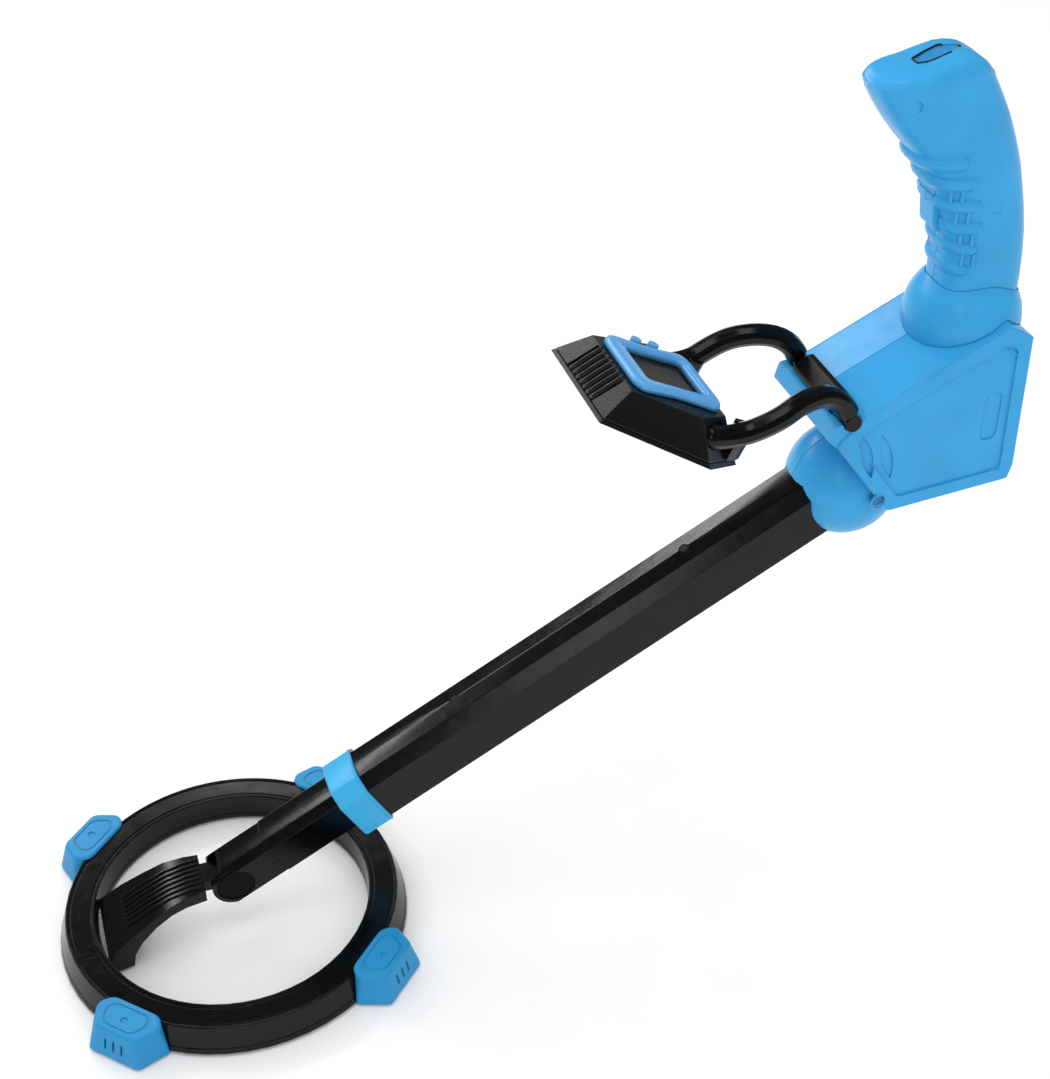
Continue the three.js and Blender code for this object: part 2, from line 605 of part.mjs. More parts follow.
const KEEPER_HALF = 19;
const barKeeper = () => {
  const along = [Math.cos(0.51), Math.sin(0.51)];
  const up = [-along[1], along[0]];
  const corner = (u, v) => [BAR.x + along[0] * u + up[0] * v, BAR.z + along[1] * u + up[1] * v];
  const outline = rounded([corner(-5, 1.4), corner(-5, 4.4), corner(-3.4, 5.6), corner(4.4, 5.6),
    corner(6.6, 4.4), corner(6.6, 1.4)], 0.8, 2);
  return prism('y', outline, -KEEPER_HALF, KEEPER_HALF)
    .subtract(rodY(BAR.x, BAR.z, BAR.radius + GAP, -40, 40, 28))
    .subtract(housingBody(-GAP))
    .subtract(prism('y', inset(LIP, -GAP), -40, 40));
};

// ---- grip -----------------------------------------------------------------------------

const gripRing = ([level, front, back, half], offset) => {
  const points = [];
  const middle = (front + back) / 2;
  for (let i = 0; i < GRIP_STEPS; i += 1) {
    const turn = (i / GRIP_STEPS) * Math.PI * 2;
    const power = 2 / 2.7;
    const cos = Math.cos(turn);
    const sin = Math.sin(turn);
    points.push([
      middle + Math.sign(cos) * Math.abs(cos) ** power * ((back - front) / 2 - offset),
      Math.sign(sin) * Math.abs(sin) ** power * (half - offset),
      level,
    ]);
  }
  return points;
};

const crestAt = (x) => {
  const above = CREST.findIndex((point) => point[0] >= x);
  const next = above < 0 ? CREST.length - 1 : Math.max(above, 1);
  const [x0, z0] = CREST[next - 1];
  const [x1, z1] = CREST[next];
  return z0 + (z1 - z0) * THREE.MathUtils.clamp((x - x0) / (x1 - x0), 0, 1);
};

const crownRing = (share, rise, offset) => {
  const [base, front, back, half] = CROWN_BASE;
  const middle = (front + back) / 2;
  return gripRing(CROWN_BASE, 0).map(([x, y]) => {
    const px = middle + (x - middle) * share * (1 - offset / (middle - front));
    const py = y * share * (1 - offset / half);
    return [px, py, base + rise * (crestAt(px) - base) - offset];
  });
};

const gripBody = (offset) => {
  const rows = offset > 0 ? GRIP.slice(0, -1) : [...GRIP, CROWN_BASE];
  return loft([
    ...rows.map((row) => gripRing(row, offset)),
    ...CROWN_RINGS.map(([share, rise]) => crownRing(share, rise, offset)),
  ]);
};

const gripAt = (level) => {
  const above = GRIP.findIndex((row) => row[0] >= level);
  const a = GRIP[above - 1];
  const b = GRIP[above];
  const t = (level - a[0]) / (b[0] - a[0]);
  return a.map((value, k) => value + (b[k] - value) * t);
};

// one raised rib round the front of the grip, ending part-way along each side
const gripRib = ([level, reach]) => {
  const row = gripAt(level);
  const ring = (z, grow) => gripRing([z, row[1], row[2], row[3]], -grow);
  const belt = loft([ring(level - 3.6, 0.05), ring(level - 1.8, 1.5), ring(level + 1.8, 1.5), ring(level + 3.6, 0.05)]);
  const front = box([row[1] - 10, row[1] + reach], [-30, 30], [level - 5, level + 5]);
  return belt.intersect(front);
};

const TRIGGER = { half: 6, z: [304.4, 323.6] };
const triggerPrism = (grow) => {
  const [low, high] = [TRIGGER.z[0] - grow, TRIGGER.z[1] + grow];
  const profile = [
    [335, low], [332.6, low + 1.2], [331.8, low + 3.4], [330.2 - grow, high - 1],
    [330.9, high], [340.6, high], [340.6, low],
  ];
  return prism('y', profile, -TRIGGER.half - grow, TRIGGER.half + grow);
};

const KEY = {
  outline: [[316.8, 2.6], [322, 4.1], [328.5, 4.4], [335.6, 1], [335.6, -1], [328.5, -4.4], [322, -4.1], [316.8, -2.6]],
  base: 376.6,
};
const keyOutline = (grow) => inset(KEY.outline, -grow);

const gripShell = () => {
  const ribs = union(RIBS.map(gripRib));
  const triggerWay = triggerPrism(0.25);
  return gripBody(0).add(ribs)
    .subtract(gripBody(WALL))
    .subtract(triggerWay)
    .intersect(box([0, FAR], [-FAR, FAR], [0, CROWN_BASE[0]]));
};

const gripCap = () => gripBody(0).subtract(gripBody(WALL))
  .intersect(box([0, FAR], [-FAR, FAR], [CROWN_BASE[0] + GAP, FAR]))
  .subtract(prism('z', keyOutline(GAP), 370, 400));

const gripKey = () => prism('z', keyOutline(0), KEY.base, 390)
  .intersect(gripBody(0.4))
  .add(prism('z', keyOutline(1.6), KEY.base - 1.6, KEY.base + 0.1));

const fingerTrigger = () => {
  const blade = triggerPrism(0);
  const foot = box([340, 341.8], [-7, 7], [TRIGGER.z[0] - 0.4, TRIGGER.z[1] + 1.4]);
  return blade.add(foot);
};

const neckDome = () => {
  const shell = ball(NECK_DOME.x, 0, NECK_DOME.z, NECK_DOME.r, 40)
    .subtract(ball(NECK_DOME.x, 0, NECK_DOME.z, NECK_DOME.r - WALL, 32));
  const above = box([300, 400], [-40, 40], [240, 300]);
  const gripWay = loft(GRIP.slice(0, 4).map(([level, ...rest], i) => gripRing([level - (i === 0 ? 3 : 0), ...rest], -GAP)));
  return shell.intersect(above).subtract(housingBody(-GAP)).subtract(gripWay);
};

const gripCore = () => {
  const outer = new THREE.CylinderGeometry(12, 12, 44, 28).rotateX(Math.PI / 2).translate(NECK_DOME.x, 0, 268);
  const inner = new THREE.CylinderGeometry(9.6, 9.6, 60, 28).rotateX(Math.PI / 2).translate(NECK_DOME.x, 0, 268);
  return solidOf(outer).subtract(solidOf(inner));
};

// ---- inside the housing ---------------------------------------------------------------

const battery = () => box([317.5, 366], [-13.2, 13.2], [187, 204.4]);
const batterySnap = () => box([312.2, 317.2], [-12.6, 12.6], [189, 202.6]);
const mainBoard = () => box([318, 366], [4, 5.6], [208, 236]);
const speaker = () => rodY(338, 216, 13.5, 21.4, 26.6, 28).add(rodY(338, 216, 7, 15, 22, 20));

// ---- display head ---------------------------------------------------------------------

const headTurn = new THREE.Matrix4().makeRotationY(HEAD.tilt)
  .premultiply(new THREE.Matrix4().makeTranslation(HEAD.x, 0, HEAD.z));
const headToStance = (solid) => solid.transform(headTurn.elements);

const headCorners = (corners) => [
  ...corners.map(([a, y, m]) => [a, -y, m]),
  ...corners.slice().reverse(),
];

// the case's outline at a share of its height, moved inwards by an offset and up by a lift
const headRing = (share, offset, lift = 0) => {
  const top = headCorners(HEAD_TOP);
  const base = headCorners(HEAD_BASE);
  const mixed = top.map((point, i) => point.map((value, k) => value + (base[i][k] - value) * share));
  const outline = inset(mixed.map(([a, y]) => [a, y]), offset);
  return outline.map(([a, y], i) => [a, y, mixed[i][2] + lift]);
};

const headBlock = (offset, from, to, lift = 0) => loft([headRing(from, offset, lift), headRing(to, offset, lift)]);

const bezelOutline = (grow) => {
  const [a0, a1] = BEZEL.a;
  const w = BEZEL.half + grow;
  const waist = w - 2.6;
  const mid = (a0 + a1) / 2;
  const side = [[a0 - grow + 4.4, w - 0.5], [a0 + 12, w - 1.6], [mid, waist], [a1 - 12, w - 1.4],
    [a1 + grow - 4.4, w - 0.3]];
  return [
    [a0 - grow, -w + 6], [a0 - grow + 1.8, -w + 2.4], ...side.map(([a, y]) => [a, -y]),
    [a1 + grow - 1.6, -w + 2.2], [a1 + grow, -w + 6], [a1 + grow, w - 6], [a1 + grow - 1.6, w - 2.2],
    ...side.slice().reverse(), [a0 - grow + 1.8, w - 2.4], [a0 - grow, w - 6],
  ];
};

const lcdOutline = (grow) => rounded([
  [LCD.a[0] - grow, -LCD.half - grow], [LCD.a[1] + grow, -LCD.half - grow],
  [LCD.a[1] + grow, LCD.half + grow], [LCD.a[0] - grow, LCD.half + grow]], 2.4, 3);

const BUTTON_Y = 24.4;
const buttonRod = (a, radius, low, high) => {
  const geometry = new THREE.CylinderGeometry(radius, radius, high - low, 20).rotateX(Math.PI / 2);
  geometry.translate(a, BUTTON_Y, (low + high) / 2);
  return solidOf(geometry);
};

const arm = (side, radius) => {
  const path = new THREE.CatmullRomCurve3(ARM_PATH.map(([x, y, z]) => new THREE.Vector3(x, y * side, z)));
  const circle = new THREE.Shape();
  const steps = 12;
  for (let i = 0; i < steps; i += 1) {
    const turn = ((i + 0.5) / steps) * Math.PI * 2;
    const point = [radius * Math.cos(turn), radius * Math.sin(turn)];
    if (i === 0) circle.moveTo(...point);
    else circle.lineTo(...point);
  }
  circle.closePath();
  const [x, y, z] = ARM_PATH[0];
  return solidOf(new THREE.ExtrudeGeometry(circle, { steps: 22, extrudePath: path, bevelEnabled: false }))
    .add(ball(x, y * side, z, radius * 0.985, 16));
};

// a groove down a sloping face that runs from one point to another in (a, m)
const groove = (y, [a0, m0], [a1, m1]) => {
  const length = Math.hypot(a1 - a0, m1 - m0);
  const normal = [(m1 - m0) / length, -(a1 - a0) / length];
  const at = (a, m, depth) => [a + normal[0] * depth, m + normal[1] * depth];
  return prism('y', [at(a0, m0, -0.8), at(a1, m1, -0.8), at(a1, m1, 3), at(a0, m0, 3)], y - 1, y + 1);
};

const GROOVES = [-14.7, -10.5, -6.3, -2.1, 2.1, 6.3, 10.5, 14.7];
const POST = [[49.2, 24.3], [54.5, 24.3], [58.2, 28.4], [54, 31.4], [49.2, 33.2]];

const caseTop = () => {
  const block = headBlock(0, 0, HEAD_SPLIT[0]);
  const hollow = headBlock(WALL, 0, 1, -1.8);
  const posts = [1, -1].map((side) => prism('z', POST.map(([a, y]) => [a, y * side]), -18.2, -1.7));
  const [front, , rear] = HEAD_TOP;
  const [frontBase, , rearBase] = HEAD_BASE;
  const grooves = GROOVES.flatMap((y) => [
    groove(y, [frontBase[0], frontBase[2]], [front[0] - 0.3, front[2] - 0.4]),
    groove(y, [rear[0] + 0.3, rear[2] - 0.4], [rearBase[0], rearBase[2]]),
  ]);
  const window = prism('z', inset(lcdOutline(0), -1.6), -10, 10);
  const buttonWays = union(Object.values(BUTTON_PLACES).map((a) => buttonRod(a, 2.85, -10, 10)));
  const armWays = arm(-1, ARM_RADIUS + GAP).add(arm(1, ARM_RADIUS + GAP));
  return headToStance(union([block, ...posts])
    .subtract(union([hollow, window, buttonWays, ...grooves]))).subtract(armWays);
};

const caseBottom = () => headToStance(headBlock(0, HEAD_SPLIT[1], 1));

const bezel = () => {
  const [low, high] = BEZEL.m;
  const ring = (grow, m) => bezelOutline(grow).map(([a, y]) => [a, y, m]);
  const block = loft([ring(0, low), ring(0, high - 1.4), ring(-0.6, high - 0.4), ring(-1.6, high)]);
  return headToStance(block.subtract(prism('z', lcdOutline(0), -10, 10)));
};

const lcdWindow = () => headToStance(prism('z', inset(lcdOutline(0), -1.2), -3.9, -2.6));
const lcdModule = () => headToStance(box([4.6, 39], [-16.8, 16.8], [-8, -4.6]));
const displayBoard = () => headToStance(box([9, 34], [-24, 26.4], [-10.4, -8.8]));

const displayButton = (a) => headToStance(
  buttonRod(a, 2.6, -5, 1.6).add(buttonRod(a, 3.1, -6.4, -4.8)));

const crossbar = () => rodY(BAR.x, BAR.z, BAR.radius, -BAR.half, BAR.half, 28);

const yokeArm = (side) => arm(side, ARM_RADIUS)
  .subtract(rodY(BAR.x, BAR.z, BAR.radius + GAP, -40, 40, 28));

// ---- assembly -------------------------------------------------------------------------

const assembly = new THREE.Group();
assembly.position.set(-GRIP_CENTRE[0], -GRIP_CENTRE[1], -GRIP_CENTRE[2]);

const add = (name, solid, material) => {
  const mesh = new THREE.Mesh(geometryOf(solid), material);
  mesh.name = name;
  assembly.add(mesh);
};

const coilFit = coilEnvelope(GAP);
add('coil_body', coilBody(), BLACK);
add('coil_cover', coilBottomShell(), BLACK);
add('coil_winding', coilWinding(), COPPER);
Object.entries(BUMPER_ANGLES).forEach(([place, degrees]) => {
  add(`bumper_${place}`, bumper(coilFit, degrees), BUMPER_BLUE);
});
add('hinge_washer_left', hingeWasher(-1), BLACK_SATIN);
add('hinge_washer_right', hingeWasher(1), BLACK_SATIN);
add('hinge_bolt', hingeBolt(), BLACK);
add('hinge_nut', hingeNut(), BLACK);
add('knuckle', knuckle(), BLACK);
add('inner_tube', innerTube(), BLACK);
add('outer_tube', outerTube(), BLACK);
add('tube_bush', tubeBush(), BLACK_SATIN);
add('shaft_collar', collar(), BLUE);
add('shaft_core', shaftCore(), BLACK_SATIN);
add('shaft_screw_front', shaftScrew(SHAFT_SCREWS.front, 23.6), STEEL);
add('shaft_screw_rear', shaftScrew(SHAFT_SCREWS.rear, 22), STEEL);

const shellPair = housing();
add('housing_left', shellPair.intersect(leftHalf), BLUE);
add('housing_right', shellPair.intersect(rightHalf), BLUE);
add('battery_door', batteryDoor(), BLUE);
add('battery_door_screw', doorScrew(), STEEL);
Object.entries(SCREWS).forEach(([place, screw]) => {
  add(`housing_screw_${place}`, housingScrew(screw), STEEL);
});
add('battery', battery(), BATTERY_GREY);
add('battery_snap', batterySnap(), SPEAKER_BLACK);
add('main_board', mainBoard(), BOARD_GREEN);
add('speaker', speaker(), SPEAKER_BLACK);
add('bar_cradle', barCradle(), BLUE);
add('bar_keeper', barKeeper(), BLACK_SATIN);

const gripPair = gripShell();
add('grip_left', gripPair.intersect(leftHalf), BLUE);
add('grip_right', gripPair.intersect(rightHalf), BLUE);
add('grip_cap', gripCap(), BLUE);
add('grip_key', gripKey(), BLUE);
add('finger_trigger', fingerTrigger(), BLUE);
add('neck_dome', neckDome(), BLUE);
add('grip_core', gripCore(), BLACK_SATIN);

add('display_case_top', caseTop(), BLACK);
add('display_case_bottom', caseBottom(), BLACK);
add('display_bezel', bezel(), BEZEL_BLUE);
add('lcd_window', lcdWindow(), GLASS);
add('lcd_module', lcdModule(), LCD_GREY);
add('display_board', displayBoard(), BOARD_GREEN);
Object.entries(BUTTON_PLACES).forEach(([place, a]) => {
  add(`display_button_${place}`, displayButton(a), BEZEL_BLUE);
});
add('yoke_arm_left', yokeArm(-1), BLACK);
add('yoke_arm_right', yokeArm(1), BLACK);
add('yoke_crossbar', crossbar(), BLACK);

export default assembly;
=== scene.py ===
"""The looks of a junior metal detector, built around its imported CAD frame.

Lengths are metres in the row frame, unless a name or a comment says millimetres.
"""
import json
import math

import bmesh
import bpy
from mathutils import Matrix, Vector


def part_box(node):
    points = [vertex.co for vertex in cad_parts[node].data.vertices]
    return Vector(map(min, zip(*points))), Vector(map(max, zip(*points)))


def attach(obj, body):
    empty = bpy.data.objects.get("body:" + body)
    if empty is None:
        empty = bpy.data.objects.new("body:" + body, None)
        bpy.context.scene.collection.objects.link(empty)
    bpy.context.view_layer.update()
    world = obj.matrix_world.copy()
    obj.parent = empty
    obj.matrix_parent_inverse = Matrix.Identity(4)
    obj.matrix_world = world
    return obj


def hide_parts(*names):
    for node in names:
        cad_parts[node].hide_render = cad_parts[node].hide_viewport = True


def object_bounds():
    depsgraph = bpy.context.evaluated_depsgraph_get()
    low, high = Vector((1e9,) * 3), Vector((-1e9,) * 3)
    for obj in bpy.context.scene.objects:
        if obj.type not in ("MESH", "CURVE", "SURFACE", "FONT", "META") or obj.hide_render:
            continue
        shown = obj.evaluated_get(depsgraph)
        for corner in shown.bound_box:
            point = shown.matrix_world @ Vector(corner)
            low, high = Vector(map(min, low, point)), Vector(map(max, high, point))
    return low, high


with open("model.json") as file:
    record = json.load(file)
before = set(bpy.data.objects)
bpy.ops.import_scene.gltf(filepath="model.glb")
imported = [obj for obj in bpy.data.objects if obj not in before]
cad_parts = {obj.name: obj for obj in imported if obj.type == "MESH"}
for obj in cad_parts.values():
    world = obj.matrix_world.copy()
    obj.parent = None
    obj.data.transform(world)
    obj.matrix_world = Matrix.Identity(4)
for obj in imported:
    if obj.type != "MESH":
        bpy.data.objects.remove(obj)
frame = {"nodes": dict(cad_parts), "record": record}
cad_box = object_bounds()
NODES = frame["nodes"]
BODY_OF = {node: body for body, members in frame["record"]["behaviour"]["bodies"].items() for node in members}
MM = 0.001

# -------------------------------------------------------------------------------------------- materials


def linear(code, gain=1.0):
    """A hex colour as linear red, green, blue and alpha."""
    def channel(value):
        value /= 255
        return value / 12.92 if value <= 0.04045 else ((value + 0.055) / 1.055) ** 2.4
    return tuple(min(1.0, gain * channel(int(code[i:i + 2], 16))) for i in (0, 2, 4)) + (1.0,)


class Shader:
    """A procedural material in the making, around one Principled shader."""

    def __init__(self, name, **sockets):
        self.material = bpy.data.materials.new(name)
        self.material.use_nodes = True
        self.tree = self.material.node_tree
        self.bsdf = self.tree.nodes["Principled BSDF"]
        for key, value in sockets.items():
            self.bsdf.inputs[key.replace("_", " ")].default_value = value
        self.place = self.node("ShaderNodeTexCoord").outputs["Object"]

    def node(self, kind, inputs=None, **settings):
        made = self.tree.nodes.new(kind)
        for key, value in settings.items():
            setattr(made, key, value)
        for key, value in (inputs or {}).items():
            if isinstance(value, bpy.types.NodeSocket):
                self.tree.links.new(value, made.inputs[key])
            else:
                made.inputs[key].default_value = value
        return made

    def stretched(self, scale):
        """Object coordinates scaled by a different amount on each axis."""
        return self.node("ShaderNodeMapping", {"Vector": self.place, "Scale": scale}).outputs["Vector"]

    def noise(self, size_mm, detail=3.0, rough=0.5, place=None):
        inputs = {"Vector": place or self.place, "Scale": 1000 / size_mm, "Detail": detail,
                  "Roughness": rough}
        return self.node("ShaderNodeTexNoise", inputs).outputs["Fac"]

    def cells(self, size_mm, feature="F1"):
        inputs = {"Vector": self.place, "Scale": 1000 / size_mm}
        return self.node("ShaderNodeTexVoronoi", inputs, feature=feature).outputs["Distance"]

    def range(self, value, low, high, out_low=0.0, out_high=1.0):
        inputs = {"Value": value, "From Min": low, "From Max": high, "To Min": out_low, "To Max": out_high}
        return self.node("ShaderNodeMapRange", inputs).outputs["Result"]

    def maths(self, operation, a, b):
        return self.node("ShaderNodeMath", {0: a, 1: b}, operation=operation).outputs[0]

    def mix(self, share, a, b):
        """A colour between a and b; the colour sockets of the Mix node are numbers 6 and 7 in, and 2 out."""
        return self.node("ShaderNodeMix", {0: share, 6: a, 7: b}, data_type="RGBA").outputs[2]

    def bump(self, height, depth_mm, strength=1.0, normal=None):
        inputs = {"Height": height, "Distance": depth_mm * MM, "Strength": strength}
        if normal:
            inputs["Normal"] = normal
        return self.node("ShaderNodeBump", inputs).outputs["Normal"]

    def edges(self, width_mm):
        """The normal with its edges eased, and a mask: 1 on edges, 0 on open faces."""
        soft = self.node("ShaderNodeBevel", {"Radius": width_mm * MM}, samples=4).outputs["Normal"]
        true = self.node("ShaderNodeNewGeometry").outputs["Normal"]
        dot = self.node("ShaderNodeVectorMath", {0: soft, 1: true}, operation="DOT_PRODUCT")
        return soft, self.range(dot.outputs["Value"], 0.995, 0.93)

    def out(self, **links):
        for key, socket in links.items():
            self.tree.links.new(socket, self.bsdf.inputs[key.replace("_", " ")])
        return self.material


def moulded(name, colour, roughness, specular, cloud=0.05, grain=0.02, ripple=0.03, edge_wear_and_highlight=0.12, dusty=0.05,
            hairlines=0.5):
    """Injection-moulded plastic: clouded resin, ripple, grain, dust, hairline scratches, and edges made
    lighter and rougher, partly as wear and partly as a painted highlight.
    """
    cloud_mm, ripple_mm, grain_mm = 26, 7, 0.6
    # A pale tint, used for dust and for edges that are lightened partly as wear and partly as a painted
    # highlight.
    pale_dust_wear_and_highlight = "cfe0ea"
    s = Shader(name, Specular_IOR_Level=specular)
    flow = s.range(s.noise(cloud_mm, 2.0), 0.32, 0.68)
    base = s.mix(flow, linear(colour, 1 - cloud), linear(colour, 1 + cloud))
    dust = s.range(s.noise(0.9, 2.0, 0.7), 0.60, 0.74)
    base = s.mix(s.maths("MULTIPLY", dust, dusty), base, linear(pale_dust_wear_and_highlight))
    eased, edge_wear_and_highlight_mask = s.edges(0.5)
    # Patchy lighter edges: part rubbed wear, part painted highlight.
    patchy_edge_wear_and_highlight = s.maths("MULTIPLY", edge_wear_and_highlight_mask, s.range(s.noise(4, 3.0), 0.35, 0.7, 0.35, 1.0))
    base = s.mix(s.maths("MULTIPLY", patchy_edge_wear_and_highlight, edge_wear_and_highlight), base, linear(pale_dust_wear_and_highlight))
    long_way = s.stretched((60, 700, 2400))
    cross_way = s.stretched((2100, 55, 600))
    lines = s.maths("MAXIMUM", s.range(s.noise(1000, 1.0, 0.5, long_way), 0.70, 0.76),
                    s.range(s.noise(1000, 1.0, 0.5, cross_way), 0.72, 0.77))
    lines = s.maths("MULTIPLY", lines, hairlines)
    matt = s.range(s.noise(11, 3.0), 0.3, 0.7, roughness * 0.86, roughness * 1.16)
    matt = s.maths("ADD", matt, s.maths("MULTIPLY", lines, 0.10))
    matt = s.maths("ADD", matt, s.maths("MULTIPLY", patchy_edge_wear_and_highlight, 0.08))
    wavy = s.bump(s.noise(ripple_mm, 1.0), ripple, normal=eased)
    fine = s.bump(s.noise(grain_mm, 2.0, 0.6), grain, normal=wavy)
    cut = s.bump(lines, -0.008, normal=fine)
    return s.out(Base_Color=base, Roughness=matt, Normal=cut)


def sparked(name, colour, roughness, specular):
    """Plastic from a spark-eroded mould: an even stipple over a clouded resin."""
    s = Shader(name, Specular_IOR_Level=specular)
    flow = s.range(s.noise(18, 2.0), 0.3, 0.7)
    speck = s.range(s.noise(0.55, 2.0, 0.7), 0.58, 0.75)
    base = s.mix(flow, linear(colour, 0.85), linear(colour, 1.2))
    base = s.mix(s.maths("MULTIPLY", speck, 0.05), base, linear("8e8b84"))
    eased, edge_wear_and_highlight_mask = s.edges(0.45)
    # Edges lightened towards grey: part wear, part painted highlight.
    base = s.mix(s.maths("MULTIPLY", edge_wear_and_highlight_mask, 0.12), base, linear("9a9890"))
    matt = s.range(s.noise(0.5, 2.0), 0.35, 0.65, roughness * 0.85, roughness * 1.2)
    stipple = s.bump(s.noise(0.45, 2.0, 0.6), 0.05, normal=eased)
    return s.out(Base_Color=base, Roughness=matt, Normal=stipple)


def satin_metallic(name, colour, bright):
    """Blue plastic with fine pearl flake under a thin clear coat."""
    s = Shader(name, Specular_IOR_Level=0.55, Coat_Weight=0.25, Coat_Roughness=0.25, Metallic=0.12)
    flake = s.range(s.cells(0.35), 0.10, 0.55)
    flow = s.range(s.noise(9, 2.0), 0.3, 0.7)
    base = s.mix(flow, linear(colour, 0.94), linear(colour, 1.07))
    base = s.mix(s.maths("MULTIPLY", flake, 0.28), base, linear(bright))
    matt = s.range(s.noise(1.2, 2.0), 0.3, 0.7, 0.30, 0.44)
    grain = s.bump(s.noise(0.32, 2.0, 0.7), 0.03)
    return s.out(Base_Color=base, Roughness=matt, Normal=grain)


def lcd_glass(name):
    """Idle liquid-crystal panel: olive grey, warmer towards the user, with the faint mesh of its cells."""
    s = Shader(name, Specular_IOR_Level=0.3)
    across = s.node("ShaderNodeSeparateXYZ", {"Vector": s.place}).outputs["X"]
    low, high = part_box("lcd_module")
    warm = s.range(across, low.x, high.x)
    base = s.mix(warm, linear("77795f"), linear("776c55"))
    base = s.mix(s.range(s.noise(7, 2.0), 0.3, 0.7, 0.0, 0.25), base, linear("5c664f"))
    matt = s.range(s.noise(2, 2.0), 0.3, 0.7, 0.35, 0.5)
    return s.out(Base_Color=base, Roughness=matt, Normal=s.bump(s.cells(0.4), 0.01))


def window_clear(name):
    """Clear cover over the display, thinly tinted and a little smeared."""
    s = Shader(name, Specular_IOR_Level=0.6, Alpha=0.34, IOR=1.49)
    smear = s.range(s.noise(6, 3.0, 0.6, s.stretched((300, 90, 90))), 0.35, 0.7)
    base = s.mix(smear, linear("33342b"), linear("3f4037"))
    return s.out(Base_Color=base, Roughness=s.range(smear, 0, 1, 0.05, 0.12))


def brushed(name, colour, metallic=1.0, rough=0.32):
    """Turned or rolled metal with fine tool marks."""
    s = Shader(name, Metallic=metallic)
    marks = s.noise(1000, 2.0, 0.6, s.stretched((3000, 160, 3000)))
    base = s.mix(s.range(s.noise(2, 3.0), 0.3, 0.7), linear(colour, 0.75), linear(colour, 1.1))
    matt = s.range(marks, 0.3, 0.7, rough * 0.75, rough * 1.35)
    return s.out(Base_Color=base, Roughness=matt, Normal=s.bump(marks, 0.02))


def wound(name, colour, pitch_mm):
    """Enamelled wire laid in a bundle: one ridge for each turn, darker between the ridges as painted shade,
    with a lacquered shine.
    """
    s = Shader(name, Metallic=0.85, Coat_Weight=0.5, Coat_Roughness=0.12)
    wave = {"Vector": s.stretched((0, 0, 1000 / pitch_mm)), "Scale": 0.5, "Distortion": 1.5, "Detail": 2.0}
    turns = s.node("ShaderNodeTexWave", wave, bands_direction="Z").outputs["Fac"]
    # Darker in the grooves between turns: painted shade.
    base = s.mix(turns, linear(colour, 0.55), linear(colour, 1.1))
    return s.out(Base_Color=base, Roughness=s.range(turns, 0, 1, 0.4, 0.22), Normal=s.bump(turns, 0.12))


def circuit(name):
    """Green solder mask with copper tracks showing through as a finer, lighter web."""
    s = Shader(name, Specular_IOR_Level=0.5, Coat_Weight=0.3, Coat_Roughness=0.2)
    tracks = s.range(s.cells(3.2, "DISTANCE_TO_EDGE"), 0.05, 0.09, 1.0, 0.0)
    base = s.mix(s.maths("MULTIPLY", tracks, 0.6), linear("14603a"), linear("2f8a55"))
    base = s.mix(s.range(s.cells(1.9), 0.10, 0.13, 1.0, 0.0), base, linear("b9b49c"))
    return s.out(Base_Color=base, Roughness=s.range(s.noise(1.5), 0.3, 0.7, 0.28, 0.42),
                 Normal=s.bump(tracks, 0.05))


def jacket(name):
    """Battery jacket: two plain bands of lacquered foil with a light scuff."""
    s = Shader(name, Metallic=0.35, Coat_Weight=0.6, Coat_Roughness=0.15)
    along = s.node("ShaderNodeSeparateXYZ", {"Vector": s.place}).outputs["X"]
    low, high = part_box("battery")
    band = s.range(along, low.x + 0.29 * (high.x - low.x), low.x + 0.31 * (high.x - low.x))
    base = s.mix(band, linear("b98c4a"), linear("34373c"))
    scuff = s.range(s.noise(3, 4.0, 0.7), 0.6, 0.75)
    base = s.mix(s.maths("MULTIPLY", scuff, 0.3), base, linear("9b9c9e"))
    return s.out(Base_Color=base, Roughness=s.range(scuff, 0, 1, 0.28, 0.5), Normal=s.bump(scuff, 0.02))


def rubber(name, colour):
    """Dull black card, foam and rubber parts inside the housing."""
    s = Shader(name, Specular_IOR_Level=0.25)
    pores = s.range(s.cells(0.8), 0.0, 0.5)
    # The pores are darker than the surface round them: painted shade in the pits.
    base = s.mix(pores, linear(colour, 0.7), linear(colour, 1.25))
    return s.out(Base_Color=base, Roughness=s.range(pores, 0, 1, 0.75, 0.6), Normal=s.bump(pores, 0.08))


BLUE = moulded("blue_plastic", "349fda", 0.28, 0.24, ripple=0.035, edge_wear_and_highlight=0.10, dusty=0.02)
KEY_BLUE = moulded("key_blue", "2a86c0", 0.32, 0.30, edge_wear_and_highlight=0.08)
CAP_BLACK = moulded("cap_black", "030303", 0.45, 0.10, cloud=0.2, edge_wear_and_highlight=0.02, dusty=0.003)
# The collar's blue is a little lighter than the housing's: a painted highlight for the glint on it.
COLLAR = moulded("collar_blue", "36a9dc", 0.28, 0.28, ripple=0.035, edge_wear_and_highlight=0.14, dusty=0.02)
BUMPER = moulded("bumper_blue", "228cc4", 0.40, 0.24, grain=0.03, edge_wear_and_highlight=0.08)
BLACK = moulded("black_plastic", "060606", 0.15, 0.25, cloud=0.25, ripple=0.05, edge_wear_and_highlight=0.02, dusty=0.006,
                hairlines=0.8)
SATIN = sparked("black_satin_plastic", "0b0a09", 0.30, 0.36)
BEZEL = satin_metallic("bezel_blue", "3d9be0", "8cc9f2")
LCD = lcd_glass("lcd_grey")
WINDOW = window_clear("lens_glass")
STEEL = brushed("steel", "8d8f92")
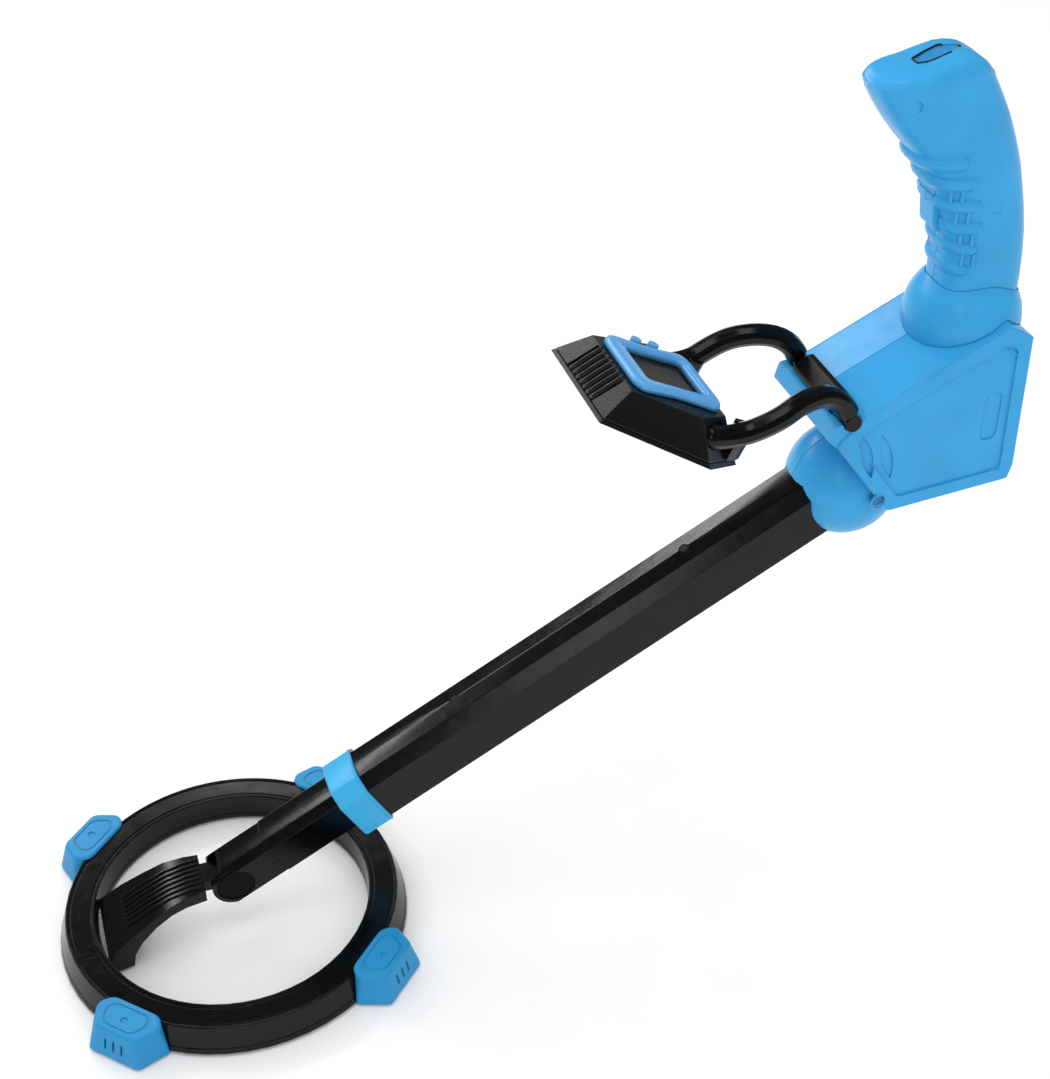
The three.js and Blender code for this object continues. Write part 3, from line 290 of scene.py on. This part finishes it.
# Housing screws: steel coloured a darker blue, the painted shade of the deep blue holes they sit in.
BLUE_SHADED_STEEL = brushed("steel_blue_shaded", "2c7db4", metallic=0.25, rough=0.4)
BLACKENED = brushed("steel_blackened", "16171a", metallic=0.7, rough=0.4)
COPPER = wound("copper", "b4622c", 0.5)
BOARD = circuit("board_green")
JACKET = jacket("cell_jacket")
SPEAKER = rubber("speaker_black", "1d1e21")

# -------------------------------------------------------------------------------------------- finishing


def dress(piece, material):
    """Gives a piece one material on all its faces."""
    piece.data.materials.clear()
    piece.data.materials.append(material)


MERGE = 2e-6  # metres; closer corners are one corner
FLAT_WITHIN = math.radians(0.4)
SHARP_FROM = math.radians(28)


def soften(piece, width_mm, flatten=True):
    """Rounds a piece's sharp edges and evens its shading; flatten joins its coplanar faces first."""
    for polygon in piece.data.polygons:
        polygon.use_smooth = True
    weld = piece.modifiers.new("weld", "WELD")
    weld.merge_threshold = MERGE
    if flatten:
        flat = piece.modifiers.new("flat", "DECIMATE")
        flat.decimate_type = "DISSOLVE"
        flat.angle_limit = FLAT_WITHIN
    bevel = piece.modifiers.new("round", "BEVEL")
    bevel.limit_method = "ANGLE"
    bevel.angle_limit = SHARP_FROM
    bevel.width = width_mm * MM
    bevel.segments = 2
    bevel.use_clamp_overlap = True
    even = piece.modifiers.new("even", "WEIGHTED_NORMAL")
    even.weight = 100
    even.keep_sharp = False


# Joining coplanar faces spoils the rounded shape of these two, and closes the collar's opening.
LEFT_UNJOINED = ("shaft_collar", "finger_trigger")
FINISH = {  # node: (material, edge radius in millimetres)
    "coil_body": (BLACK, 0.35), "coil_cover": (BLACK, 0.3), "coil_winding": (COPPER, 0.2),
    "hinge_washer_left": (SATIN, 0.1), "hinge_washer_right": (SATIN, 0.1),
    "hinge_bolt": (CAP_BLACK, 0.3), "hinge_nut": (CAP_BLACK, 0.3), "knuckle": (BLACK, 0.35),
    "inner_tube": (BLACK, 0.25), "outer_tube": (BLACK, 0.35), "tube_bush": (SATIN, 0.2),
    "shaft_collar": (COLLAR, 0.35), "shaft_core": (SATIN, 0.2),
    "shaft_screw_front": (BLACKENED, 0.15), "shaft_screw_rear": (BLACKENED, 0.15),
    "housing_left": (BLUE, 0.3), "housing_right": (BLUE, 0.3),
    "battery_door": (BLUE, 0.25), "battery_door_screw": (STEEL, 0.15),
    "battery": (JACKET, 0.6), "battery_snap": (SPEAKER, 0.2), "main_board": (BOARD, 0.1),
    "speaker": (SPEAKER, 0.3), "bar_cradle": (BLUE, 0.3), "bar_keeper": (SATIN, 0.3),
    "grip_left": (BLUE, 0.3), "grip_right": (BLUE, 0.3), "grip_cap": (BLUE, 0.3), "grip_key": (KEY_BLUE, 0.3),
    "finger_trigger": (BLUE, 0.4), "neck_dome": (BLUE, 0.3), "grip_core": (SATIN, 0.2),
    "display_case_top": (SATIN, 0.3), "display_case_bottom": (SATIN, 0.3), "display_bezel": (BEZEL, 0.5),
    "lcd_window": (WINDOW, 0.1), "lcd_module": (LCD, 0.2), "display_board": (BOARD, 0.1),
    "display_button_front": (BEZEL, 0.5), "display_button_rear": (BEZEL, 0.5),
    "yoke_arm_left": (BLACK, 0.3), "yoke_arm_right": (BLACK, 0.3), "yoke_crossbar": (BLACK, 0.2),
}
# The housing screws take the steel coloured with painted blue shade.
for place in ("bottom_front", "bottom_rear", "top_rear", "top_front"):
    FINISH["housing_screw_" + place] = (BLUE_SHADED_STEEL, 0.15)
for place in ("front_left", "front_right", "rear_left", "rear_right"):
    FINISH["bumper_" + place] = (BUMPER, 0.4)
for node, (material, radius) in FINISH.items():
    dress(NODES[node], material)
    soften(NODES[node], radius, flatten=node not in LEFT_UNJOINED)

# --------------------------------------------------------------------------------------- moulded detail
# Lengths below are millimetres. Stance places have their origin in the middle of the coil's top face.

GRIP_CENTRE = (352, 0, 320)
SHAFT = math.radians(28.56)
HEAD_AT = (194.5, 264.3)
HEAD_TILT = math.radians(26.5)
RING_STEPS = 112  # corners of a full turn round the coil or the bezel


def stance(x, y, z):
    """A place in the stance frame as a point of the row frame."""
    return Vector((x - GRIP_CENTRE[0], y, z - GRIP_CENTRE[2])) * MM


def on_shaft(s, y, h):
    """A place s along the shaft and h above its lower edge."""
    return stance(s * math.cos(SHAFT) - h * math.sin(SHAFT), y, s * math.sin(SHAFT) + h * math.cos(SHAFT))


def on_head(a, y, m):
    """A place a along the display head's top face, from its front, and m above it."""
    c, t = math.cos(HEAD_TILT), math.sin(HEAD_TILT)
    return stance(HEAD_AT[0] + c * a + t * m, y, HEAD_AT[1] - t * a + c * m)


def smoothed(points, reach, steps=4, closed=True):
    """An outline with each corner replaced by a curve that starts reach before it."""
    points = [Vector(p) for p in points]
    count = len(points)
    made = []
    for i, corner in enumerate(points):
        if not closed and i in (0, count - 1):
            made.append(corner)
            continue
        before, after = points[i - 1], points[(i + 1) % count]
        start, end = [corner + (other - corner).normalized() * min(reach, (other - corner).length * 0.48)
                      for other in (before, after)]
        for step in range(steps + 1):
            t = step / steps
            made.append(start * (1 - t) ** 2 + corner * (2 * t * (1 - t)) + end * t ** 2)
    return made


def grown(outline, centre, amount):
    """An outline moved away from its centre by amount, which may be negative."""
    centre = Vector(centre)
    return [p + (p - centre).normalized() * amount for p in map(Vector, outline)]


def scaled(outline, centre, share):
    """An outline shrunk towards its centre to a share of its size."""
    centre = Vector(centre)
    return [centre + (p - centre) * share for p in map(Vector, outline)]


def circle(centre, radius, steps=24):
    """The corners of a circle."""
    turns = [2 * math.pi * i / steps for i in range(steps)]
    return [Vector((centre[0] + radius * math.cos(t), centre[1] + radius * math.sin(t))) for t in turns]


def polar(outline, centre):
    """An outline seen from its centre at even turns, so that different outlines match point for point."""
    centre = Vector(centre)
    made = []
    edges = list(zip(outline, outline[1:] + outline[:1]))
    for step in range(RING_STEPS):
        turn = 2 * math.pi * (step + 0.5) / RING_STEPS
        ray = Vector((math.cos(turn), math.sin(turn)))
        reach = 0
        for a, b in edges:
            a, side = Vector(a) - centre, Vector(b) - Vector(a)
            cross = ray.x * side.y - ray.y * side.x
            if abs(cross) > 1e-9:
                along = (a.x * side.y - a.y * side.x) / cross
                share = (a.x * ray.y - a.y * ray.x) / cross
                if along > 0 and -1e-6 <= share <= 1 + 1e-6:
                    reach = max(reach, along)
        made.append(centre + ray * reach)
    return made


def stacked(loops, joined=False):
    """A closed mesh through loops of equal length; joined makes it a ring, otherwise its ends are capped."""
    mesh = bmesh.new()
    rows = [[mesh.verts.new(p) for p in loop] for loop in loops]
    pairs = list(zip(rows, rows[1:])) + ([(rows[-1], rows[0])] if joined else [])
    for low, high in pairs:
        for i in range(len(low)):
            j = (i + 1) % len(low)
            mesh.faces.new((low[i], low[j], high[j], high[i]))
    if not joined:
        mesh.faces.new(rows[0])
        mesh.faces.new(rows[-1])
    bmesh.ops.recalc_face_normals(mesh, faces=mesh.faces)
    return mesh


def plug(outline, low, high, at):
    """A prism over an outline, from low to high; at turns each (u, v, w) into a place."""
    return stacked([[at(u, v, w) for u, v in outline] for w in (low, high)])


def channel(outline, inner, low, high, at):
    """A prism between two outlines, for cutting a groove."""
    order = ((outline, low), (outline, high), (inner, high), (inner, low))
    return stacked([[at(u, v, w) for u, v in line] for line, w in order], joined=True)


def merged(meshes, name):
    """One object made from several bmeshes, which are used up."""
    data = bpy.data.meshes.new(name)
    whole = bmesh.new()
    for mesh in meshes:
        mesh.to_mesh(data)
        mesh.free()
        whole.from_mesh(data)
    whole.to_mesh(data)
    whole.free()
    made = bpy.data.objects.new(name, data)
    bpy.context.scene.collection.objects.link(made)
    return made


def carved(node, cutters, blank=None):
    """A node, or a blank in its place, with details cut into it, which stands for the CAD node."""
    rough = blank or bpy.data.objects.new("rough", NODES[node].data.copy())
    if not blank:
        bpy.context.scene.collection.objects.link(rough)
    rough.modifiers.new("weld", "WELD").merge_threshold = MERGE
    tool = merged(cutters, "tool")
    cut = rough.modifiers.new("cut", "BOOLEAN")
    cut.operation, cut.solver, cut.object = "DIFFERENCE", "EXACT", tool
    graph = bpy.context.evaluated_depsgraph_get()
    mesh = bpy.data.meshes.new_from_object(rough.evaluated_get(graph))
    bpy.data.objects.remove(rough)
    bpy.data.objects.remove(tool)
    piece = bpy.data.objects.new(node + "_moulding", mesh)
    bpy.context.scene.collection.objects.link(piece)
    material, radius = FINISH[node]
    dress(piece, material)
    soften(piece, radius)
    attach(piece, BODY_OF[node])
    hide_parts(node)


def bead(name, points, radius, body, material, closed=False, round_ends=False):
    """A round raised line along points, as moulded on a plastic shell."""
    line = bpy.data.curves.new(name, "CURVE")
    line.dimensions = "3D"
    line.bevel_depth = radius * MM
    line.bevel_resolution = 3
    line.use_fill_caps = True
    spline = line.splines.new("POLY")
    spline.points.add(len(points) - 1)
    for knot, point in zip(spline.points, points):
        knot.co = (*point, 1)
    spline.use_cyclic_u = closed
    rough = bpy.data.objects.new("rough", line)
    bpy.context.scene.collection.objects.link(rough)
    graph = bpy.context.evaluated_depsgraph_get()
    mesh = bpy.data.meshes.new_from_object(rough.evaluated_get(graph))
    bpy.data.objects.remove(rough)
    if round_ends:
        ball = radius * 0.995 * MM
        ends = bmesh.new()
        for point in (points[0], points[-1]):
            bmesh.ops.create_uvsphere(ends, u_segments=16, v_segments=10, radius=ball,
                                      matrix=Matrix.Translation(point))
        ends.from_mesh(mesh)
        ends.to_mesh(mesh)
        ends.free()
    for polygon in mesh.polygons:
        polygon.use_smooth = True
    piece = bpy.data.objects.new(name, mesh)
    bpy.context.scene.collection.objects.link(piece)
    dress(piece, material)
    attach(piece, body)


# Bumpers: a six-sided block with rounded corners, a six-sided groove and a small round dimple on top, and
# three upright slots in the outer face. Places are distance from the coil's middle, sideways and height.
BUMPER_MIDDLE = (85, 0)
BUMPER_TOP = [(76, -13), (82, -17.6), (93.6, -11.8), (93.6, 11.8), (82, 17.6), (76, 13)]
BUMPER_FOOT = [(77, -15.5), (82, -21), (96.8, -13.8), (96.8, 13.8), (82, 21), (77, 15.5)]
BUMPER_WAIST = [Vector(foot) * 0.86 + Vector(top) * 0.14 for foot, top in zip(BUMPER_FOOT, BUMPER_TOP)]
# height, outline, reach of its corner curves, swell
BUMPER_LEVELS = ((-14.5, BUMPER_FOOT, 1.8, -1.0), (-13.2, BUMPER_FOOT, 1.8, 0), (-11, BUMPER_WAIST, 1.8, 0),
                 (0.2, BUMPER_TOP, 3.2, 0.2), (1.0, BUMPER_TOP, 3.2, -0.2), (1.5, BUMPER_TOP, 3.2, -0.9),
                 (1.7, BUMPER_TOP, 3.2, -1.8))
BUMPER_GROOVE = {"outer": 0.70, "inner": 0.62, "floor": 1.3}
BUMPER_DIMPLE = {"centre": (85.5, 0), "radius": 1.7, "floor": 1.1}
BUMPER_SLOT = {"from": 93.9, "half": 0.6, "low": -9.2, "high": -3.4, "pitch": 4.5}
ABOVE, BEYOND = 4, 99  # cutters end clear of a bumper's top and outer face
RIM_PROFILE = ((60, 0.3), (80.3, 0.3), (84.5, -13.4), (60, -13.4))  # room for the coil's rim
BUMPER_TURNS = {"front_left": 225, "front_right": 135, "rear_left": 315, "rear_right": 45}


def at_bumper(degrees):
    """A function that turns a bumper place into a point, for the bumper at this many degrees."""
    turn = math.radians(degrees)
    along, aside = (math.cos(turn), math.sin(turn)), (-math.sin(turn), math.cos(turn))
    return lambda r, t, z: stance(along[0] * r + aside[0] * t, along[1] * r + aside[1] * t, z)


def around_coil(radius):
    """A circle round the coil's middle."""
    return circle((0, 0), radius, RING_STEPS)


def bumper_cutters(at):
    """What is cut from one bumper: the coil's rim, the dimple, the groove and the slots."""
    ring = [[stance(x, y, z) for x, y in around_coil(r)] for r, z in RIM_PROFILE]
    rim = smoothed(BUMPER_TOP, 4.5)
    outer, inner = [scaled(rim, BUMPER_MIDDLE, BUMPER_GROOVE[key]) for key in ("outer", "inner")]
    dimple = circle(BUMPER_DIMPLE["centre"], BUMPER_DIMPLE["radius"])
    cutters = [stacked(ring, joined=True), plug(dimple, BUMPER_DIMPLE["floor"], ABOVE, at),
               channel(outer, inner, BUMPER_GROOVE["floor"], ABOVE, at)]
    start, half = BUMPER_SLOT["from"], BUMPER_SLOT["half"]
    for number in (-1, 0, 1):
        low, high = [number * BUMPER_SLOT["pitch"] + edge for edge in (-half, half)]
        outline = [(start, low), (BEYOND, low), (BEYOND, high), (start, high)]
        cutters.append(plug(outline, BUMPER_SLOT["low"], BUMPER_SLOT["high"], at))
    return cutters


for place, degrees in BUMPER_TURNS.items():
    at = at_bumper(degrees)
    loops = [[at(u, v, z) for u, v in grown(smoothed(line, soft), BUMPER_MIDDLE, swell)]
             for z, line, soft, swell in BUMPER_LEVELS]
    blank = merged([stacked(loops)], "blank")
    carved("bumper_" + place, bumper_cutters(at), blank=blank)

# Coil: a fine groove and a rounded rim beside each edge of the ring's top face.
RING_GROOVES = ((68.9, 67.9), (78.4, 77.4))
RING_RIMS = {"ring_rim_outer": 79.3, "ring_rim_inner": 66.9}
RING_GROOVE_FLOOR, RING_GROOVE_TOP = -0.45, 3
RING_BEAD = {"radius": 0.5, "height": -0.05}
ring_cuts = [channel(around_coil(outer), around_coil(inner), RING_GROOVE_FLOOR, RING_GROOVE_TOP, stance)
             for outer, inner in RING_GROOVES]
carved("coil_body", ring_cuts)
for name, radius in RING_RIMS.items():
    rim_line = [stance(x, y, RING_BEAD["height"]) for x, y in around_coil(radius)]
    bead(name, rim_line, RING_BEAD["radius"], "coil", BLACK, closed=True)

# Bezel: a rounded band with a waist, a fine groove round the window, and a low inner lip.
OPENING = smoothed([(6.5, -14.8), (37, -14.8), (37, 14.8), (6.5, 14.8)], 2.6)
BAND_SIDE = [(-1.4, -17.6), (0.4, -21.2), (3, -23.1), (10.6, -22), (21, -21), (31.4, -22.2), (39, -23.3),
             (41.8, -21.4), (43.4, -17.6)]
BAND = smoothed(BAND_SIDE + [(a, -y) for a, y in reversed(BAND_SIDE)], 4, 3)
HEAD_MIDDLE = (21.5, 0)
# height above the head's face, outline, swell
BAND_LEVELS = ((-2.2, BAND, 0), (-0.6, BAND, 0), (0.3, BAND, -0.35), (0.9, BAND, -1.0), (1.2, BAND, -2.0),
               (1.25, BAND, -3.0), (1.1, OPENING, 2.3), (0.9, OPENING, 1.75), (0.1, OPENING, 1.7),
               (0.1, OPENING, 1.15), (0.75, OPENING, 1.1), (0.75, OPENING, 0.5), (0.4, OPENING, 0),
               (-2.2, OPENING, 0))
loops = [[on_head(u, v, m) for u, v in grown(polar(line, HEAD_MIDDLE), HEAD_MIDDLE, swell)]
         for m, line, swell in BAND_LEVELS]
band = merged([stacked(loops, joined=True)], "bezel_band")
dress(band, BEZEL)
for polygon in band.data.polygons:
    polygon.use_smooth = True
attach(band, "display")
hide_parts("display_bezel")

# Display head: rounded ridges between the grooves of its front and rear faces.
# Each face is its upper place, its lower place and the way out of it, along the head and above it.
RIDGE_FACES = {
    "front": ((-4.2, -3.2), (-13.2, -14.6), (-0.79, 0.61)),
    "rear": ((44.9, -3.2), (54.6, -16), (0.8, 0.6)),
}
RIDGES, RIDGE_PITCH, RIDGE_RADIUS, RIDGE_STEPS = 7, 4.2, 1.7, 6


def ridge_line(upper, lower, out, y):
    """The middle of a ridge down a face of the head, sinking in as it goes down."""
    upper, lower, out = Vector(upper), Vector(lower), Vector(out)
    line = []
    for step in range(RIDGE_STEPS + 1):
        share = step / RIDGE_STEPS
        a, m = upper.lerp(lower, share) - out * (0.75 + 0.7 * share ** 3)
        line.append(on_head(a, y, m))
    return line


for face, places in RIDGE_FACES.items():
    for number in range(RIDGES):
        line = ridge_line(*places, RIDGE_PITCH * (number - RIDGES // 2))
        bead(f"{face}_ridge_{number + 1}", line, RIDGE_RADIUS, "display", SATIN,
             round_ends=True)

# Grip: six finger rolls round its front, small bars between them, and two round sink marks on each side.
# Each level is its height, the grip's front and back, and half its width.
GRIP_LEVELS = [(288, 339.6, 378.1, 16.9), (298.5, 338.3, 377.1, 17.1), (309, 335.1, 375.3, 17.2),
               (319.5, 331.2, 372.8, 17.2), (330, 326.8, 370.2, 17.2), (339.8, 320.1, 367, 17.2)]
ROLL_ENDS = [4.5, 7.5, 11.5, 12.6, 13.6, 14.8]  # how far each roll runs back from the grip's front
ROLL_RADIUS, ROLL_PROUD, ROLL_STEPS = 3.5, -1.5, 14
TRIGGER_ROLLS = (2, 3)  # rolls that stop either side of the finger bar
TRIGGER_CLEAR = 9.6  # from the middle plane
OVAL = 2.7  # the power of the grip's squared oval
SQUARENESS = 2 / OVAL


def grip_point(level, x, side, proud):
    """A place on the grip's surface, proud of it, at a distance x behind its front."""
    z, front, back, half = level
    reach = (back - front) / 2
    across = max(-1.0, min(1.0, 1 - x / reach))
    turn = math.acos(across ** (1 / SQUARENESS) if across >= 0 else -((-across) ** (1 / SQUARENESS)))
    aside = abs(math.sin(turn)) ** SQUARENESS
    slope = OVAL - 1
    normal = Vector((-math.copysign(abs(across) ** slope, across) / reach, side * aside ** slope / half, 0))
    point = Vector((front + x, side * aside * half, z)) + normal.normalized() * proud
    return stance(*point)


def finger_roll(name, line):
    """One raised roll of the grip, round at both ends."""
    bead(name, line, ROLL_RADIUS, "main", BLUE, round_ends=True)


for number, (level, end) in enumerate(zip(GRIP_LEVELS, ROLL_ENDS)):
    behind = [end * (1 - math.cos(math.pi / 2 * i / ROLL_STEPS)) for i in range(ROLL_STEPS + 1)]
    near, far = [[grip_point(level, x, side, ROLL_PROUD) for x in behind] for side in (-1, 1)]
    if number in TRIGGER_ROLLS:
        for hand, half in (("left", near), ("right", far)):
            clear = [point for point in half if abs(point.y) > TRIGGER_CLEAR * MM]
            finger_roll(f"finger_roll_{number + 1}_{hand}", clear)
    else:
        finger_roll(f"finger_roll_{number + 1}", near[::-1] + far[1:])

# Cap: a bead in the seam under it, all the way round.
CAP_LEVEL = (373.65, 296.2, 351, 16.4)
CAP_STEPS = 36
CAP_SEAM = {"proud": -0.45, "radius": 0.5}
cap_length = CAP_LEVEL[2] - CAP_LEVEL[1]
cap_line = [cap_length * (1 - math.cos(math.pi * i / CAP_STEPS)) / 2 for i in range(CAP_STEPS + 1)]
near, far = [[grip_point(CAP_LEVEL, x, side, CAP_SEAM["proud"]) for x in cap_line] for side in (-1, 1)]
bead("cap_seam", near + far[-2:0:-1], CAP_SEAM["radius"], "main", BLUE, closed=True)

# The rear seams of the grip and the housing close on a moulded lip in the middle of their walls.
MID_WALL, SEAM_LIP_RADIUS = 1.1, 0.7
REAR_WALLS = {
    "grip": [(378.4, 284), (378, 290), (376.7, 301), (374.6, 312), (372.2, 322), (369.6, 332), (366.9, 340),
             (363.9, 348), (360.5, 356), (356.3, 364), (353.6, 368.6)],
    "housing": [(377.1, 238), (378.2, 190), (377.2, 186)],
}
for part, wall in REAR_WALLS.items():
    lip = [stance(x - MID_WALL, 0, z) for x, z in wall]
    bead("seam_lip_" + part, lip, SEAM_LIP_RADIUS, "main", BLUE)

# Bars: two upright ones on each side of the grip, in each gap between the lower five rolls.
BAR_PLACES = (5.0, 9.0)  # behind the grip's front
BAR = {"sunk": -1.0, "proud": 1.1, "half_width": 0.9, "half_height": 3.6, "taper": 0.85}


def grip_bar(level, x, side):
    """A small upright bar standing on the grip."""
    foot, top = [grip_point(level, x, side, BAR[key]) for key in ("sunk", "proud")]
    out = (top - foot).normalized()
    flat = out.cross(Vector((0, 0, 1))) * BAR["half_width"] * MM
    rise = Vector((0, 0, BAR["half_height"] * MM))
    corners = [-flat - rise, flat - rise, flat + rise, -flat + rise]
    return stacked([[foot + c for c in corners], [top + c * BAR["taper"] for c in corners]])


bars = []
for low, high in zip(GRIP_LEVELS[:4], GRIP_LEVELS[1:5]):
    level = [(a + b) / 2 for a, b in zip(low, high)]
    bars += [grip_bar(level, x, side) for x in BAR_PLACES for side in (-1, 1)]
grip_bars = merged(bars, "grip_bars")
dress(grip_bars, BLUE)
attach(grip_bars, "main")

# Sink marks: centre, and how far from the middle plane the floor of the mark is.
SINK_MARKS = ((311, 367, 14.95), (354.5, 317, 16.85))
SINK_RADIUS = 2.7
OUTSIDE = 30
for side, hand in ((-1, "left"), (1, "right")):
    marks = []
    for x, z, depth in SINK_MARKS:
        outline = circle((x, z), SINK_RADIUS)
        marks.append(stacked([[stance(u, side * y, w) for u, w in outline] for y in (depth, OUTSIDE)]))
    carved("grip_" + hand, marks)

# Key: a thin dark raised ring over the gap round the thumb key.
KEY_SIDE = [(316.8, -2.6), (322, -4.1), (328.5, -4.4), (335.6, -1)]
KEY = KEY_SIDE + [(x, -y) for x, y in reversed(KEY_SIDE)]
KEY_MIDDLE = (325.5, 0)
KEY_RING = {"out": 0.5, "radius": 0.42}


def top_of(node, x, y):
    """The highest point of a CAD node over a stance place, or one near the grip's top if there is none."""
    start = stance(x, y, 420)
    hit, point, _, _ = NODES[node].ray_cast(start, Vector((0, 0, -1)))
    return point if hit else stance(x, y, 380)


key_ring_points = [top_of("grip_cap", x, y) for x, y in grown(smoothed(KEY, 1.0, 3), KEY_MIDDLE, KEY_RING["out"])]
bead("key_dark_ring", key_ring_points, KEY_RING["radius"], "main", SATIN, closed=True)

# Collar: a raised lip round its rear edge.
LIP_SIDE = [(-13.3, -2.5), (-15.6, 0.2), (-15.6, 22.7), (-9.3, 29.1), (-4, 29.8)]
LIP = LIP_SIDE + [(-y, h) for y, h in reversed(LIP_SIDE)]
LIP_AT, LIP_RADIUS = 88.5, 0.55
lip_line = [on_shaft(LIP_AT, y, h) for y, h in smoothed(LIP, 1.2, 2)]
bead("collar_lip", lip_line, LIP_RADIUS, "main", COLLAR, closed=True)

# Housing: a bead that frames the side panel below and behind, one along the edge above it, and a ring round
# the front screw.
FRAME = [(313.2, 183.9), (366, 188.2), (371.4, 190.5), (370.1, 250), (364.5, 253.4)]
CREASE = [(297.5, 231.6), (364.2, 264.0), (375.6, 257.0)]
PANEL_HALF, CREASE_HALF, SCREW_HALF = 29.0, 29.5, 29.9  # from the middle plane
PANEL_BEAD, EDGE_BEAD, SCREW_BEAD = 0.55, 0.6, 0.5  # radii
SCREW_AT, SCREW_RING = (309.5, 184.5), 3.6
for side, hand in ((-1, "left"), (1, "right")):
    frame_line = [stance(x, side * PANEL_HALF, z) for x, z in smoothed(FRAME, 3, closed=False)]
    bead("panel_bead_" + hand, frame_line, PANEL_BEAD, "main", BLUE)
    crease_line = [stance(x, side * CREASE_HALF, z) for x, z in smoothed(CREASE, 3, closed=False)]
    bead("edge_bead_" + hand, crease_line, EDGE_BEAD, "main", BLUE)
screw_ring = [stance(x, -SCREW_HALF, z) for x, z in circle(SCREW_AT, SCREW_RING)]
bead("screw_ring", screw_ring, SCREW_BEAD, "main", BLUE, closed=True)

# ------------------------------------------------------------------------------------------------ stage

FLOOR_RADIUS, FLOOR_GAP = 6.0, 0.0004
ground = bpy.data.meshes.new("floor")
sheet = bmesh.new()
bmesh.ops.create_circle(sheet, cap_ends=True, segments=96, radius=FLOOR_RADIUS)
sheet.to_mesh(ground)
sheet.free()
floor = bpy.data.objects.new("floor", ground)
floor.location = (0, 0, cad_box[0].z - FLOOR_GAP)
bpy.context.scene.collection.objects.link(floor)
paper = Shader("paper", Specular_IOR_Level=0.1)
fibres = paper.range(paper.noise(40, 3.0), 0.3, 0.7)
pale = paper.mix(fibres, linear("f6f6f6"), linear("f8f8f8"))
dress(floor, paper.out(Base_Color=pale, Roughness=paper.range(fibres, 0, 1, 0.85, 0.95)))

# The sky lights the object brightly but is dim in its reflections, so that black plastic stays black.
SKY_LIGHT, SKY_REFLECTED = 0.92, 0.14
world = bpy.data.worlds.new("studio")
world.use_nodes = True
sky = world.node_tree.nodes["Background"]
sky.inputs["Color"].default_value = (1, 1, 1, 1)
path = world.node_tree.nodes.new("ShaderNodeLightPath")
dim = world.node_tree.nodes.new("ShaderNodeMapRange")
dim.inputs["To Min"].default_value = SKY_LIGHT
dim.inputs["To Max"].default_value = SKY_REFLECTED
world.node_tree.links.new(path.outputs["Is Glossy Ray"], dim.inputs["Value"])
world.node_tree.links.new(dim.outputs["Result"], sky.inputs["Strength"])
bpy.context.scene.world = world
bpy.context.scene.view_settings.view_transform = "Standard"


def softbox(name, place, target, size, power):
    """A rectangular area light at place, turned towards target."""
    light = bpy.data.lights.new(name, "AREA")
    light.shape = "RECTANGLE"
    light.size, light.size_y = size
    light.energy = power
    lamp = bpy.data.objects.new(name, light)
    lamp.location = place
    lamp.rotation_euler = (Vector(target) - Vector(place)).to_track_quat("-Z", "Y").to_euler()
    bpy.context.scene.collection.objects.link(lamp)


softbox("strip_behind", (-0.68, 0.99, 0.49), (-0.2, 0, -0.2), (1.0, 0.10), 4)
softbox("window_behind", (-0.14, 1.22, 0.62), (-0.38, 0.0, -0.32), (0.30, 0.22), 1.5)
softbox("overhead", (-0.25, 0.0, 1.5), (-0.15, 0, -0.2), (1.3, 0.5), 5)
softbox("near_fill", (-0.9, -1.3, 0.8), (-0.15, 0, -0.15), (0.25, 0.9), 2)

CAMERA_AT = (-0.3941, -0.6017, 0.3305)
CAMERA_RIGHT = (0.9509, -0.3093, -0.0062)
CAMERA_UP = (0.1897, 0.5669, 0.8017)
CAMERA_BACK = (-0.2445, -0.7635, 0.5977)
camera_data = bpy.data.cameras.new("camera")
camera_data.sensor_width = 36
camera_data.lens = 58.92
camera_data.clip_start = 0.05
camera_data.clip_end = 20
camera = bpy.data.objects.new("camera", camera_data)
turn = Matrix((CAMERA_RIGHT, CAMERA_UP, CAMERA_BACK)).transposed().to_4x4()
camera.matrix_world = Matrix.Translation(CAMERA_AT) @ turn
bpy.context.scene.collection.objects.link(camera)
bpy.context.scene.camera = camera
